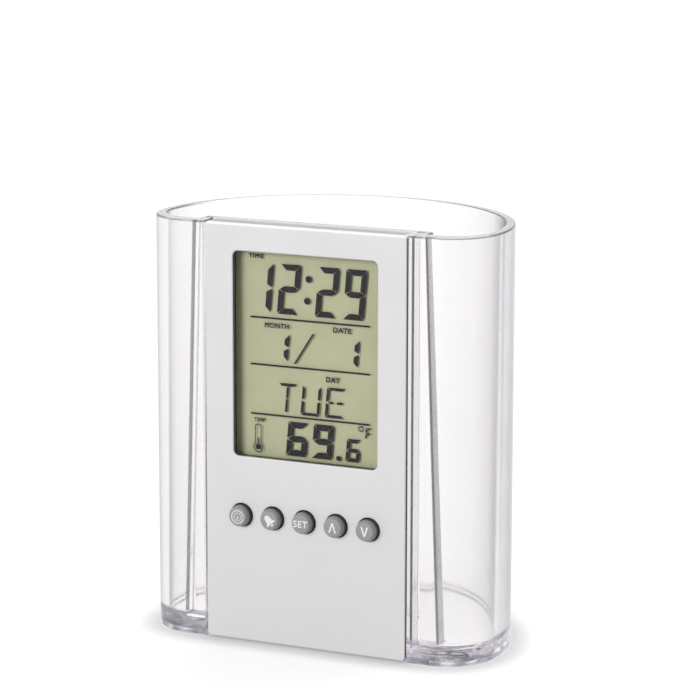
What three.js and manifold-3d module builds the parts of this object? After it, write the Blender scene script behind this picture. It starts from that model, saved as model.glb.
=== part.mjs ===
// Desk clock pen holder: a clear moulded cup with a slim digital clock set flush into its front.
// Millimetres, +Z up, the clock faces -Y. The origin is the middle of the footprint, on the table.
import * as THREE from "three";
import { mergeVertices } from "three/addons/utils/BufferGeometryUtils.js";
import Module from "manifold-3d";

const wasm = await Module();
wasm.setup();

// Cup
const cupWidth = 86.8;
const cupDepth = 54.6;
const cupHeight = 100;
const frontFlatWidth = 62; // straight part of the front, between the rounded corners
const cornerDepth = 13.5; // how far behind the front the cup is widest
const frontWall = 3.5; // at the rim
const sideWall = 2.3; // round the sides and the back, at the rim
const wallDraft = 0.35; // degrees by which the walls thicken towards the floor
const earDraft = 1.75; // degrees by which the pen space narrows beside the clock
const floorThickness = 4.4;
const floorRadius = 0.6;
const postWall = 1.3; // between each groove and the pen space, at the rim
const recessBackWall = 1.6; // between the clock's recess and the pen space, at the rim
const grooveStop = 3; // height at which the grooves end, so that the clock stands on it
const footInset = 0.8; // how much wider the standing edge is than the rim
const footHeight = 0.6;

// Clock shells
const panelWidth = 51.2;
const panelLift = 0.3; // clear of the table
const panelRadius = 1;
const panelChamfer = 0.6;
const panelWall = 1.6;
const panelSide = 1.5;
const panelGap = 0.3; // to the sides of the recess
const coverWall = 1.2;
const coverGap = 0.1; // seam between the two shells
const recessGap = 0.2; // behind the clock
const flangeReach = 1.8; // how far the cover's flanges stand out of the panel's sides
const flangeGap = 0.25; // to the groove

// Display
const windowBorder = 7.25; // of the panel, at each side of the window
const windowDrop = 6.5; // from the panel's top edge
const windowRadius = 1.3;
const glassMargin = 1.2; // of the rear glass past the window
const contactLedge = 1.5; // of the front glass past the rear glass, above and below
const glassThickness = 0.55;
const reflectorThickness = 0.12;
const gasketThickness = 0.6;
const gasketSetback = 0.3; // of the foam behind the window's edge
const lcdFrameWall = 0.6;
const lcdFrameGap = 0.15;
const zebraGap = 0.1; // at each side of a connector strip on its ledge
const zebraEndGap = 1;
const stackGap = 0.05; // between layers that lie on each other

// Circuit board
const boardThickness = 0.8;
const boardStandoff = 0.28; // from the reflector
const boardGap = 0.1; // to the back cover
const chipRadius = 2.6;
const chipHeight = 1.2;
const chipGap = 0.925; // from the chip's row to the buttons below it and the LCD frame above it
const crystalDiameter = 2;
const crystalLength = 6;
const leadDiameter = 0.4;
const leadLength = 1.5;
const crystalX = 12;
const thermistorRadius = 0.8;
const thermistorX = -12;

// Buttons
const buttonNames = ["clock", "alarm", "set", "up", "down"];
const buttonSpacing = 0.75; // between the flanges of neighbouring buttons
const buttonDiameter = 5.6;
const buttonFaceDiameter = 3.7;
const buttonHeight = 2.3; // proud of the panel
const buttonSkirt = 0.5; // straight part of the side, before it rounds over
const buttonGap = 0.25; // to the hole
const buttonFlangeReach = 0.9; // of the flange past the button's side, behind the panel
const buttonFlangeThickness = 0.6;
const buttonFlangeGap = 0.1;
const pusherDiameter = 3.2;
const pusherLength = 0.4;
const domeBaseDiameter = 5.2;
const domeTopDiameter = 3.4;
const domeWall = 0.45;
const domeGap = 0.85; // from the battery contacts' pads to the domes above them

// Battery
const cellDiameter = 20;
const cellThickness = 2.5;
const cellGap = 0.15;
const trayGap = 0.15;
const trayArm = 2.65;
const trayBar = 2.4; // lower bar, under the cell
const trayLip = 0.3; // floor that keeps the cell from falling out forwards
const trayLipReach = 1.7;
const trayArmRise = 7; // of the arms past the cell's middle
const nailSlotWidth = 8;
const nailSlotHeight = 1;
const railWidth = 1;
const contactThickness = 0.2;
const contactWidth = 4;
const contactX = 5; // each contact's middle, left and right of the cell's middle
const contactGap = 0.1; // to the cell
const contactPad = 2; // length soldered to the board
const contactRoom = 2.5; // between the cell and the board's lower edge
const contactReach = 2; // of the front contact past the cell's middle

// Buzzer
const buzzerGap = 0.575; // to the tray's rail on one side and the panel's wall on the other
const ceramicInset = 1.25; // of the ceramic disc inside the brass one
const buzzerThickness = 0.4;
const buzzerZ = 16;
const wireDiameter = 0.6;
const wirePitch = 1.6;
const wirePad = 1.2; // length that lies on the board
const wireGap = 0.1;

// Cover screws
const bossDiameter = 3.4;
const bossOverlap = 0.2; // of a boss with the side wall
const screwTopDrop = 12;
const screwBottomRise = 6.5;
const screwHeadDiameter = 2.6;
const screwHeadHeight = 0.6;
const screwShankDiameter = 1.2;
const screwGap = 0.2;
const pilotGap = 0.1; // round the shank, in a boss's hole
const screwEngagement = 2; // length inside the boss
const screwSeat = 0.45; // cover left under the head

// How finely round shapes are faceted
const ringSegments = 24;
const arcSegments = 5;
const outlineSegments = 12;
const filletSteps = 3;
const past = 1; // how far a cutting shape runs past the surface that it opens

// Depths behind the panel's front face, from the front to the back
const panelBack = panelWall;
const gasketFront = panelBack + stackGap;
const gasketBack = gasketFront + gasketThickness;
const frontGlassFront = gasketBack + stackGap;
const frontGlassBack = frontGlassFront + glassThickness;
const rearGlassFront = frontGlassBack + stackGap;
const rearGlassBack = rearGlassFront + glassThickness;
const reflectorFront = rearGlassBack + stackGap;
const reflectorBack = reflectorFront + reflectorThickness;
const boardFront = reflectorBack + boardStandoff;
const boardBack = boardFront + boardThickness;
const trayFront = panelBack + trayGap;
const cellFront = trayFront + trayLip + stackGap;
const coverFront = Math.max(boardBack + boardGap, cellFront + cellThickness + trayGap + stackGap);
const coverBack = coverFront + coverWall;
const trayBack = coverFront - trayGap;
const panelDepth = coverFront - coverGap;
const recessDepth = coverBack + recessGap;
const grooveFront = coverFront - flangeGap;

// Heights. From the table up come the battery, the buttons, the chip's row and the display, which
// takes the height that is left.
const flangeRadius = buttonDiameter / 2 + buttonFlangeReach;
const panelBottom = panelLift;
const cellZ = panelBottom + trayBar + cellGap + cellDiameter / 2;
const cellTop = cellZ + cellDiameter / 2;
const boardBottom = cellTop + contactRoom;
const padTop = boardBottom + contactPad;
const buttonZ = padTop + domeGap + domeBaseDiameter / 2;
const chipRowZ = buttonZ + flangeRadius + chipGap + chipRadius;
const lcdFrameBottom = chipRowZ + chipRadius + chipGap;
const frontGlassBottom = lcdFrameBottom + lcdFrameWall + lcdFrameGap;
const rearGlassBottom = frontGlassBottom + contactLedge;
const windowBottom = rearGlassBottom + glassMargin;
const windowTop = cupHeight - windowDrop;
const rearGlassTop = windowTop + glassMargin;
const frontGlassTop = rearGlassTop + contactLedge;
const lcdFrameTop = frontGlassTop + lcdFrameGap + lcdFrameWall;
const boardTop = lcdFrameTop;

// Half widths
const cupHalf = cupWidth / 2;
const flatHalf = frontFlatWidth / 2;
const rearRadius = cupDepth - cornerDepth;
const panelHalf = panelWidth / 2;
const panelInnerHalf = panelHalf - panelSide;
const recessHalf = panelHalf + panelGap;
const flangeHalf = panelHalf + flangeReach;
const grooveHalf = flangeHalf + flangeGap;
const windowHalf = panelHalf - windowBorder;
const glassHalf = windowHalf + glassMargin;
const lcdFrameHalf = glassHalf + lcdFrameGap + lcdFrameWall;
const boardHalf = lcdFrameHalf;
const trayHalf = cellDiameter / 2 + cellGap + trayArm;
const railInner = trayHalf + trayGap;
const railOuter = railInner + railWidth;

// Places
const buttonPitch = 2 * flangeRadius + buttonSpacing;
const buttons = buttonNames.map((name, index) => ({
  name,
  x: (index - (buttonNames.length - 1) / 2) * buttonPitch,
}));
const buzzerX = (railOuter + panelInnerHalf) / 2;
const buzzerRadius = (panelInnerHalf - railOuter) / 2 - buzzerGap;
const ceramicRadius = buzzerRadius - ceramicInset;
const screwX = panelInnerHalf - bossDiameter / 2 + bossOverlap;
const screwPlaces = [
  [-screwX, cupHeight - screwTopDrop],
  [screwX, cupHeight - screwTopDrop],
  [-screwX, panelBottom + screwBottomRise],
  [screwX, panelBottom + screwBottomRise],
];

// Finishes
function finish(color, roughness, metalness = 0) {
  return new THREE.MeshStandardMaterial({ color, roughness, metalness });
}
const clearPlastic = new THREE.MeshStandardMaterial({
  color: 0xf2f4f6,
  roughness: 0.05,
  transparent: true,
  opacity: 0.3,
});
const clearGlass = new THREE.MeshStandardMaterial({
  color: 0xdfe4da,
  roughness: 0.03,
  transparent: true,
  opacity: 0.35,
});
const silverPlastic = finish(0xdedfe1, 0.42, 0.1);
const greyPlastic = finish(0xb9bbbe, 0.55);
const buttonGrey = finish(0x8f9193, 0.45);
const blackFoam = finish(0x1b1b1c, 0.95);
const reflectorGreen = finish(0xbabb9b, 0.6);
const whitePlastic = finish(0xe6e6e2, 0.6);
const connectorRubber = finish(0xd98fa0, 0.8);
const greenBoard = finish(0x2f6a44, 0.5);
const blackResin = finish(0x151516, 0.35);
const brightMetal = finish(0xc8cacc, 0.25, 1);
const sensorResin = finish(0x2a2622, 0.4);
const domeRubber = finish(0x3b3c3e, 0.85);
const springBrass = finish(0xc9a75a, 0.35, 1);
const redWire = finish(0xb3261e, 0.5);
const blackWire = finish(0x1c1c1e, 0.5);

// Shapes and solids

/** A box between two corners. */
function box([x0, y0, z0], [x1, y1, z1]) {
  const block = new THREE.BoxGeometry(x1 - x0, y1 - y0, z1 - z0);
  return block.translate((x0 + x1) / 2, (y0 + y1) / 2, (z0 + z1) / 2);
}

/** A rectangle with round corners, drawn in X and Z. */
function roundedRectangle(half, bottom, top, radius) {
  const shape = new THREE.Shape();
  shape.absarc(half - radius, bottom + radius, radius, -Math.PI / 2, 0);
  shape.absarc(half - radius, top - radius, radius, 0, Math.PI / 2);
  shape.absarc(radius - half, top - radius, radius, Math.PI / 2, Math.PI);
  shape.absarc(radius - half, bottom + radius, radius, Math.PI, Math.PI * 1.5);
  return shape.closePath();
}

/** A closed polygon from pairs of numbers. */
function polygon(points) {
  return new THREE.Shape(points.map(([x, y]) => new THREE.Vector2(x, y)));
}

/** A shape drawn in X and Z, as a slab between two depths. */
function slab(shape, front, back) {
  const extruded = new THREE.ExtrudeGeometry(shape, {
    depth: back - front,
    bevelEnabled: false,
    curveSegments: arcSegments,
  });
  return extruded.rotateX(Math.PI / 2).translate(0, back, 0);
}

/** A round bar along Y, between two depths, at a place on the panel. */
function bar(x, z, diameter, front, back) {
  const round = new THREE.CylinderGeometry(diameter / 2, diameter / 2, back - front, ringSegments);
  return round.translate(x, (front + back) / 2, z);
}

/** A profile of radius and depth, turned about an axis along Y. */
function turned(profile) {
  const points = profile.map(([radius, depth]) => new THREE.Vector2(radius, depth));
  return new THREE.LatheGeometry(points, ringSegments);
}

/** Outlines of equal count, stacked at rising heights, skinned and capped into one closed solid. */
function loft(outlines, heights) {
  const count = outlines[0].length;
  const last = (outlines.length - 1) * count;
  const positions = outlines.flatMap((outline, ring) =>
    outline.flatMap((point) => [point.x, point.y, heights[ring]]),
  );
  const triangles = [];
  for (let start = 0; start < last; start += count) {
    for (let i = 0; i < count; i++) {
      const a = start + i;
      const b = start + ((i + 1) % count);
      triangles.push(a, b, b + count, a, b + count, a + count);
    }
  }
  for (const [a, b, c] of THREE.ShapeUtils.triangulateShape(outlines[0], [])) {
    triangles.push(a, c, b);
  }
  for (const [a, b, c] of THREE.ShapeUtils.triangulateShape(outlines.at(-1), [])) {
    triangles.push(last + a, last + b, last + c);
  }
  const geometry = new THREE.BufferGeometry();
  geometry.setAttribute("position", new THREE.Float32BufferAttribute(positions, 3));
  return geometry.setIndex(triangles);
}

/** A closed geometry as a solid that can be joined and cut. */
function solidOf(geometry) {
  const bare = geometry.clone();
  bare.deleteAttribute("normal");
  bare.deleteAttribute("uv");
  const merged = mergeVertices(bare);
  return new wasm.Manifold(
    new wasm.Mesh({
      numProp: 3,
      vertProperties: merged.attributes.position.array,
      triVerts: new Uint32Array(merged.index.array),
    }),
  );
}

/** Geometries joined into one, less the cutting geometries. */
function carve(added, removed = []) {
  const whole = added.map(solidOf).reduce((sum, next) => sum.add(next));
  const carved = removed.map(solidOf).reduce((rest, tool) => rest.subtract(tool), whole);
  const mesh = carved.getMesh();
  const geometry = new THREE.BufferGeometry();
  geometry.setAttribute("position", new THREE.BufferAttribute(mesh.vertProperties, 3));
  geometry.setIndex(new THREE.BufferAttribute(mesh.triVerts, 1));
  geometry.computeVertexNormals();
  return geometry;
}

// The holder stands on the table. Inside it, the assembly is measured from the panel's front face.
const holder = new THREE.Group();
const assembly = new THREE.Group();
assembly.position.y = (buttonHeight - cupDepth) / 2;
holder.add(assembly);

/** Adds one named piece, moved to a place on the panel if one is given. */
function addPiece(name, geometry, material, x = 0, z = 0) {
  const mesh = new THREE.Mesh(geometry, material);
  mesh.name = name;
  mesh.position.set(x, 0, z);
  assembly.add(mesh);
}

// Cup

/** The cup's plan: a straight front, oval front corners and a half-oval back. */
function cupPlan() {
  const plan = new THREE.Shape();
  const cornerRadius = cupHalf - flatHalf;
  plan.absellipse(flatHalf, cornerDepth, cornerRadius, cornerDepth, -Math.PI / 2, 0);
  plan.absellipse(0, cornerDepth, cupHalf, rearRadius, 0, Math.PI);
  plan.absellipse(-flatHalf, cornerDepth, cornerRadius, cornerDepth, Math.PI, Math.PI * 1.5);
  return plan.closePath();
}

/**
 * The pen space's outline, which bends round the clock's recess. From its size at the rim, its walls are
 * drawn in by one inset and its ends beside the clock by another.
 */
function penSpacePlan(inset, earInset) {
  const side = sideWall + inset;
  const earX = grooveHalf + postWall + earInset;
  const backY = recessDepth + recessBackWall + inset;
  const cornerX = cupHalf - flatHalf - side;
  const cornerY = cornerDepth - frontWall - inset;
  const startCosine = THREE.MathUtils.clamp((earX - flatHalf) / cornerX, 0, 1);
  const startAngle = -Math.acos(startCosine);
  const corner = new THREE.EllipseCurve(flatHalf, cornerDepth, cornerX, cornerY, startAngle, 0);
  const rear = new THREE.EllipseCurve(0, cornerDepth, cupHalf - side, rearRadius - side, 0, Math.PI);
  const cornerPoints = corner.getPoints(outlineSegments);
  const rightSide = [new THREE.Vector2(earX, cornerPoints[0].y), ...cornerPoints.slice(1, -1)];
  const leftSide = rightSide.map((point) => new THREE.Vector2(-point.x, point.y)).reverse();
  const behindClock = [new THREE.Vector2(-earX, backY), new THREE.Vector2(earX, backY)];
  return [...behindClock, ...rightSide, ...rear.getPoints(2 * outlineSegments), ...leftSide];
}

/** The pen space as a solid to cut: drafted walls and a rounded floor edge. */
function penSpace() {
  const wallSlope = Math.tan(THREE.MathUtils.degToRad(wallDraft));
  const earSlope = Math.tan(THREE.MathUtils.degToRad(earDraft));
  const planAt = (z, rounding) =>
    penSpacePlan(wallSlope * (cupHeight - z) + rounding, earSlope * (cupHeight - z) + rounding);
  const outlines = [];
  const heights = [];
  for (let step = 0; step <= filletSteps; step++) {
    const angle = (step / filletSteps) * (Math.PI / 2);
    const z = floorThickness + floorRadius * (1 - Math.cos(angle));
    outlines.push(planAt(z, floorRadius * (1 - Math.sin(angle))));
    heights.push(z);
  }
  outlines.push(planAt(cupHeight + past, 0));
  heights.push(cupHeight + past);
  return loft(outlines, heights);
}

function clearCup() {
  const body = new THREE.ExtrudeGeometry(cupPlan(), {
    depth: cupHeight,
    bevelEnabled: false,
    curveSegments: outlineSegments,
  });
  const top = cupHeight + past;
  const recess = box([-recessHalf, -past, -past], [recessHalf, recessDepth, top]);
  const grooves = box([-grooveHalf, grooveFront, grooveStop], [grooveHalf, recessDepth, top]);
  const footPlan = penSpacePlan(footInset, footInset);
  const underside = loft([footPlan, footPlan], [-past, footHeight]);
  return carve([body], [penSpace(), recess, grooves, underside]);
}
addPiece("clear_cup", clearCup(), clearPlastic);

// Clock shells

/** The panel's outline, drawn in by an inset, as points in X and Z. */
function panelOutline(inset) {
  const shape = roundedRectangle(panelHalf - inset, panelBottom + inset, cupHeight - inset, panelRadius);
  return shape.extractPoints(arcSegments).shape;
}

function frontPanel() {
  const outlines = [panelOutline(0), panelOutline(0), panelOutline(panelChamfer)];
  const outside = loft(outlines, [-panelDepth, -panelChamfer, 0]).rotateX(Math.PI / 2);
  const inside = box(
    [-panelInnerHalf, panelBack, panelBottom + panelSide],
    [panelInnerHalf, panelDepth + past, cupHeight - panelSide],
  );
  const shell = carve([outside], [inside]);
  const added = [shell];
  const removed = [
    slab(roundedRectangle(windowHalf, windowBottom, windowTop, windowRadius), -past, panelBack + past),
    box(
      [-railInner, trayFront - trayGap, panelBottom - past],
      [railInner, panelDepth + past, panelBottom + panelSide + past],
    ),
  ];
  for (const side of [-1, 1]) {
    const x = [side * railInner, side * railOuter].sort((a, b) => a - b);
    added.push(box([x[0], panelBack / 2, panelBottom + panelSide / 2], [x[1], panelDepth, cellTop]));
  }
  for (const [x, z] of screwPlaces) {
    added.push(bar(x, z, bossDiameter, panelBack / 2, panelDepth));
    const pilotDiameter = screwShankDiameter + 2 * pilotGap;
    removed.push(bar(x, z, pilotDiameter, panelDepth - screwEngagement - screwGap, panelDepth + past));
  }
  for (const { x } of buttons) {
    removed.push(bar(x, buttonZ, buttonDiameter + 2 * buttonGap, -past, panelBack + past));
  }
  return carve(added, removed);
}
addPiece("front_panel", frontPanel(), silverPlastic);

function backCover() {
  const flangeBottom = grooveStop + flangeGap;
  const outline = polygon([
    [-panelHalf, panelBottom],
    [panelHalf, panelBottom],
    [panelHalf, flangeBottom],
    [flangeHalf, flangeBottom],
    [flangeHalf, cupHeight],
    [-flangeHalf, cupHeight],
    [-flangeHalf, flangeBottom],
    [-panelHalf, flangeBottom],
  ]);
  const removed = screwPlaces.flatMap(([x, z]) => [
    bar(x, z, screwShankDiameter + 2 * screwGap, coverFront - past, coverBack + past),
    bar(x, z, screwHeadDiameter + 2 * screwGap, coverFront + screwSeat, coverBack + past),
  ]);
  return carve([slab(outline, coverFront, coverBack)], removed);
}
addPiece("back_cover", backCover(), greyPlastic);

/** A pan-head screw that points forwards: a shank into its boss and a head on the cover's seat. */
function coverScrew() {
  const seat = coverFront + screwSeat + stackGap;
  const head = seat + screwHeadHeight;
  const shank = screwShankDiameter / 2;
  return turned([
    [0, panelDepth - screwEngagement],
    [shank, panelDepth - screwEngagement],
    [shank, seat],
    [screwHeadDiameter / 2, seat],
    [screwHeadDiameter / 2, head],
    [0, head],
  ]);
}
screwPlaces.forEach(([x, z], index) => {
  addPiece(`cover_screw_${index + 1}`, coverScrew(), brightMetal, x, z);
});

// Display

/** A rectangular frame between two depths. */
function frameAround(outer, inner, front, back) {
  return carve(
    [box([-outer.half, front, outer.bottom], [outer.half, back, outer.top])],
    [box([-inner.half, front - past, inner.bottom], [inner.half, back + past, inner.top])],
  );
}

const lcdFrameEdge = { half: lcdFrameHalf, bottom: lcdFrameBottom, top: lcdFrameTop };
const gasketHole = {
  half: windowHalf + gasketSetback,
  bottom: windowBottom - gasketSetback,
  top: windowTop + gasketSetback,
};
const glassPocket = {
  half: glassHalf + lcdFrameGap,
  bottom: frontGlassBottom - lcdFrameGap,
  top: frontGlassTop + lcdFrameGap,
};
const lcdFrameBack = boardFront - stackGap;
addPiece("lcd_gasket", frameAround(lcdFrameEdge, gasketHole, gasketFront, gasketBack), blackFoam);
addPiece("lcd_frame", frameAround(lcdFrameEdge, glassPocket, frontGlassFront, lcdFrameBack), whitePlastic);
addPiece(
  "lcd_front_glass",
  box([-glassHalf, frontGlassFront, frontGlassBottom], [glassHalf, frontGlassBack, frontGlassTop]),
  clearGlass,
);
addPiece(
  "lcd_rear_glass",
  box([-glassHalf, rearGlassFront, rearGlassBottom], [glassHalf, rearGlassBack, rearGlassTop]),
  clearGlass,
);
addPiece(
  "lcd_reflector",
  box([-glassHalf, reflectorFront, rearGlassBottom], [glassHalf, reflectorBack, rearGlassTop]),
  reflectorGreen,
);

/** A connector strip that lies on one ledge of the front glass and presses on the board. */
function zebraStrip(bottom, top) {
  const half = glassHalf - zebraEndGap;
  return box([-half, frontGlassBack + stackGap, bottom + zebraGap], [half, lcdFrameBack, top - zebraGap]);
}
addPiece("zebra_strip_top", zebraStrip(rearGlassTop, frontGlassTop), connectorRubber);
addPiece("zebra_strip_bottom", zebraStrip(frontGlassBottom, rearGlassBottom), connectorRubber);

// Circuit board and what stands on it

const boardSeat = boardFront - stackGap;
addPiece(
  "circuit_board",
  box([-boardHalf, boardFront, boardBottom], [boardHalf, boardBack, boardTop]),
  greenBoard,
);

/** The resin drop over the chip: a low round cap that stands out of the board's front. */
function clockChip() {
  const profile = [[0, boardSeat - chipHeight]];
  for (let step = 1; step <= arcSegments; step++) {
    const angle = (step / arcSegments) * (Math.PI / 2);
    profile.push([chipRadius * Math.sin(angle), boardSeat - chipHeight * Math.cos(angle)]);
  }
  return turned([...profile, [0, boardSeat]]);
}
addPiece("clock_chip", clockChip(), blackResin, 0, chipRowZ);

/** Two short leads beside each other, along X from a body's end. */
function leads(start, depth) {
  const half = leadDiameter / 2;
  return [-1, 1].map((side) => {
    const z = (side * crystalDiameter) / 4;
    return box([start - half, depth - half, z - half], [start + leadLength, depth + half, z + half]);
  });
}

function quartzCrystal() {
  const depth = boardSeat - crystalDiameter / 2;
  const radius = crystalDiameter / 2;
  const can = new THREE.CylinderGeometry(radius, radius, crystalLength, ringSegments);
  can.rotateZ(Math.PI / 2).translate(0, depth, 0);
  return carve([can, ...leads(crystalLength / 2, depth)]);
}
addPiece("quartz_crystal", quartzCrystal(), brightMetal, crystalX, chipRowZ);

function thermistor() {
  const depth = boardSeat - thermistorRadius;
  const bead = new THREE.SphereGeometry(thermistorRadius, ringSegments, ringSegments / 2);
  return carve([bead.translate(0, depth, 0), ...leads(thermistorRadius / 2, depth)]);
}
addPiece("thermistor", thermistor(), sensorResin, thermistorX, chipRowZ);

// Buttons and their rubber domes

const buttonFlangeFront = panelBack + buttonFlangeGap;
const buttonFlangeBack = buttonFlangeFront + buttonFlangeThickness;
const pusherBack = buttonFlangeBack + pusherLength;

/** A button: a flat face, a rounded side, a flange behind the panel and a pusher on its dome. */
function pushButton() {
  const face = buttonFaceDiameter / 2;
  const side = buttonDiameter / 2;
  const profile = [[0, -buttonHeight]];
  for (let step = 0; step <= arcSegments; step++) {
    const angle = (step / arcSegments) * (Math.PI / 2);
    const radius = face + (side - face) * Math.sin(angle);
    profile.push([radius, -buttonSkirt - (buttonHeight - buttonSkirt) * Math.cos(angle)]);
  }
  return turned([
    ...profile,
    [side, buttonFlangeFront],
    [flangeRadius, buttonFlangeFront],
    [flangeRadius, buttonFlangeBack],
    [pusherDiameter / 2, buttonFlangeBack],
    [pusherDiameter / 2, pusherBack],
    [0, pusherBack],
  ]);
}

/** A rubber dome: a hollow cone that stands on the board and carries the pusher. */
function rubberDome() {
  const top = pusherBack + stackGap;
  const topRadius = domeTopDiameter / 2;
  const baseRadius = domeBaseDiameter / 2;
  return turned([
    [0, top],
    [topRadius, top],
    [baseRadius, boardSeat],
    [baseRadius - domeWall, boardSeat],
    [topRadius - domeWall, top + domeWall],
    [0, top + domeWall],
  ]);
}
for (const { name, x } of buttons) {
  addPiece(`button_${name}`, pushButton(), buttonGrey, x, buttonZ);
  addPiece(`dome_${name}`, rubberDome(), domeRubber, x, buttonZ);
}

// Battery

/** The tray: a lower bar and two arms round the cell, open at the top, with a lip in front. */
function batteryTray() {
  const pocketHalf = cellDiameter / 2 + cellGap;
  const armTop = cellZ + trayArmRise;
  const pocketFront = trayFront + trayLip;
  const block = box([-trayHalf, trayFront, panelBottom], [trayHalf, trayBack, armTop]);
  const lipHalf = pocketHalf - trayLipReach;
  return carve(
    [block],
    [
      bar(0, cellZ, 2 * pocketHalf, pocketFront, trayBack + past),
      box([-pocketHalf, pocketFront, cellZ], [pocketHalf, trayBack + past, armTop + past]),
      box([-lipHalf, trayFront - past, cellZ - lipHalf], [lipHalf, trayBack + past, armTop + past]),
      box(
        [-nailSlotWidth / 2, trayFront + trayLip, panelBottom - past],
        [nailSlotWidth / 2, trayBack - trayLip, panelBottom + nailSlotHeight],
      ),
    ],
  );
}
addPiece("battery_tray", batteryTray(), greyPlastic);
addPiece("coin_cell", bar(0, cellZ, cellDiameter, cellFront, cellFront + cellThickness), brightMetal);

/** A sheet-metal strip whose edge is drawn in depth and height, as wide as a contact. */
function contactStrip(points, x) {
  const edge = polygon(points);
  const strip = new THREE.ExtrudeGeometry(edge, { depth: contactWidth, bevelEnabled: false });
  const turn = new THREE.Matrix4().makeBasis(
    new THREE.Vector3(0, 1, 0),
    new THREE.Vector3(0, 0, 1),
    new THREE.Vector3(1, 0, 0),
  );
  return strip.applyMatrix4(turn).translate(x - contactWidth / 2, 0, 0);
}

const padFront = boardSeat - contactThickness;

/** The contact above the cell: an angle that hangs from the board and lies over the cell's edge. */
function contactPositive() {
  const under = cellTop + contactGap;
  const over = under + contactThickness;
  const points = [
    [boardSeat, padTop],
    [padFront, padTop],
    [padFront, over],
    [cellFront, over],
    [cellFront, under],
    [boardSeat, under],
  ];
  return contactStrip(points, contactX);
}

/** The contact in front of the cell: it steps forwards from the board and reaches down the face. */
function contactNegative() {
  const back = cellFront - contactGap;
  const front = back - contactThickness;
  const bend = (cellTop + boardBottom) / 2;
  const foot = cellZ - contactReach;
  const points = [
    [boardSeat, padTop],
    [padFront, padTop],
    [padFront, bend + contactThickness],
    [front, bend + contactThickness],
    [front, foot],
    [back, foot],
    [back, bend],
    [boardSeat, bend],
  ];
  return contactStrip(points, -contactX);
}
addPiece("contact_positive", contactPositive(), springBrass);
addPiece("contact_negative", contactNegative(), springBrass);

// Buzzer

const buzzerBack = coverFront - stackGap;
const buzzerFront = buzzerBack - buzzerThickness;

/** A brass disc on the back cover, with a smaller ceramic disc on its front. */
function piezoBuzzer() {
  const middle = (buzzerFront + buzzerBack) / 2;
  return turned([
    [0, buzzerFront],
    [ceramicRadius, buzzerFront],
    [ceramicRadius, middle],
    [buzzerRadius, middle],
    [buzzerRadius, buzzerBack],
    [0, buzzerBack],
  ]);
}
addPiece("piezo_buzzer", piezoBuzzer(), springBrass, buzzerX, buzzerZ);

/** A wire from the buzzer up to the board's lower edge. */
function buzzerWire(x) {
  const radius = wireDiameter / 2;
  const atBuzzer = buzzerFront - wireGap - radius;
  const atBoard = boardFront - wireGap - radius;
  const route = new THREE.CatmullRomCurve3([
    new THREE.Vector3(x, atBuzzer, buzzerZ),
    new THREE.Vector3(x, atBuzzer, buzzerZ + ceramicRadius),
    new THREE.Vector3(x, atBoard, boardBottom),
    new THREE.Vector3(x, atBoard, boardBottom + wirePad),
  ]);
  const section = new THREE.Shape().absarc(0, 0, radius, 0, Math.PI * 2);
  return new THREE.ExtrudeGeometry(section, {
    steps: outlineSegments,
    curveSegments: arcSegments,
    extrudePath: route,
  });
}
addPiece("buzzer_wire_1", buzzerWire(buzzerX - wirePitch / 2), redWire);
addPiece("buzzer_wire_2", buzzerWire(buzzerX + wirePitch / 2), blackWire);

export default holder;
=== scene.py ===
"""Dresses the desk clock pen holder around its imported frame.

A clear moulded cup carries a slim silver clock in its front. Meshes are drawn in millimetres, with X to the
right, Y behind the panel's front face and Z above the table, and are then moved into the frame in metres.
"""

from __future__ import annotations

import logging
import math
from collections.abc import Callable, Iterable, Sequence
from dataclasses import dataclass, field
from enum import Enum, auto
from functools import partial, reduce

import bmesh
import bpy
from mathutils import Matrix, Vector


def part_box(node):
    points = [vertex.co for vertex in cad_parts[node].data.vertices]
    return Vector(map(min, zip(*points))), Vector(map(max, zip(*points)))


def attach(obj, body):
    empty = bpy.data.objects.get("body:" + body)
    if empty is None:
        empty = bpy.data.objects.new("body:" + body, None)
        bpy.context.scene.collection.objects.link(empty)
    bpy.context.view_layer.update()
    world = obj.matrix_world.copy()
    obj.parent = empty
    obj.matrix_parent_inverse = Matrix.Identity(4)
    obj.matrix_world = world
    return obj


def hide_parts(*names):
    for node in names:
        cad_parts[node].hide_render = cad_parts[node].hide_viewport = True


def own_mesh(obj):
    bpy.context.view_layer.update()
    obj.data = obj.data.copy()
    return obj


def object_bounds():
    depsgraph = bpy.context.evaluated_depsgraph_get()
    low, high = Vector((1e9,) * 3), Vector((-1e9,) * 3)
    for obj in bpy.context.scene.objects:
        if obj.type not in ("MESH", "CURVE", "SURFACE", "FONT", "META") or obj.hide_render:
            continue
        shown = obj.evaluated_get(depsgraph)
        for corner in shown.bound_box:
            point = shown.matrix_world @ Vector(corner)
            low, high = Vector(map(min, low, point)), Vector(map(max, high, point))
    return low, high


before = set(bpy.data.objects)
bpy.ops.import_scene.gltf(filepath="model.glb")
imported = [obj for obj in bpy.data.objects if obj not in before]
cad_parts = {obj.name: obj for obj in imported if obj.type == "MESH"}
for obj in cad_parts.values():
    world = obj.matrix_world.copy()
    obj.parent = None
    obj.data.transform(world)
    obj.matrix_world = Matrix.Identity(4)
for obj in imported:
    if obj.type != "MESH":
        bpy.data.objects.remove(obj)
CAD_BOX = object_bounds()
LOG = logging.getLogger("desk_clock_holder")

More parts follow.
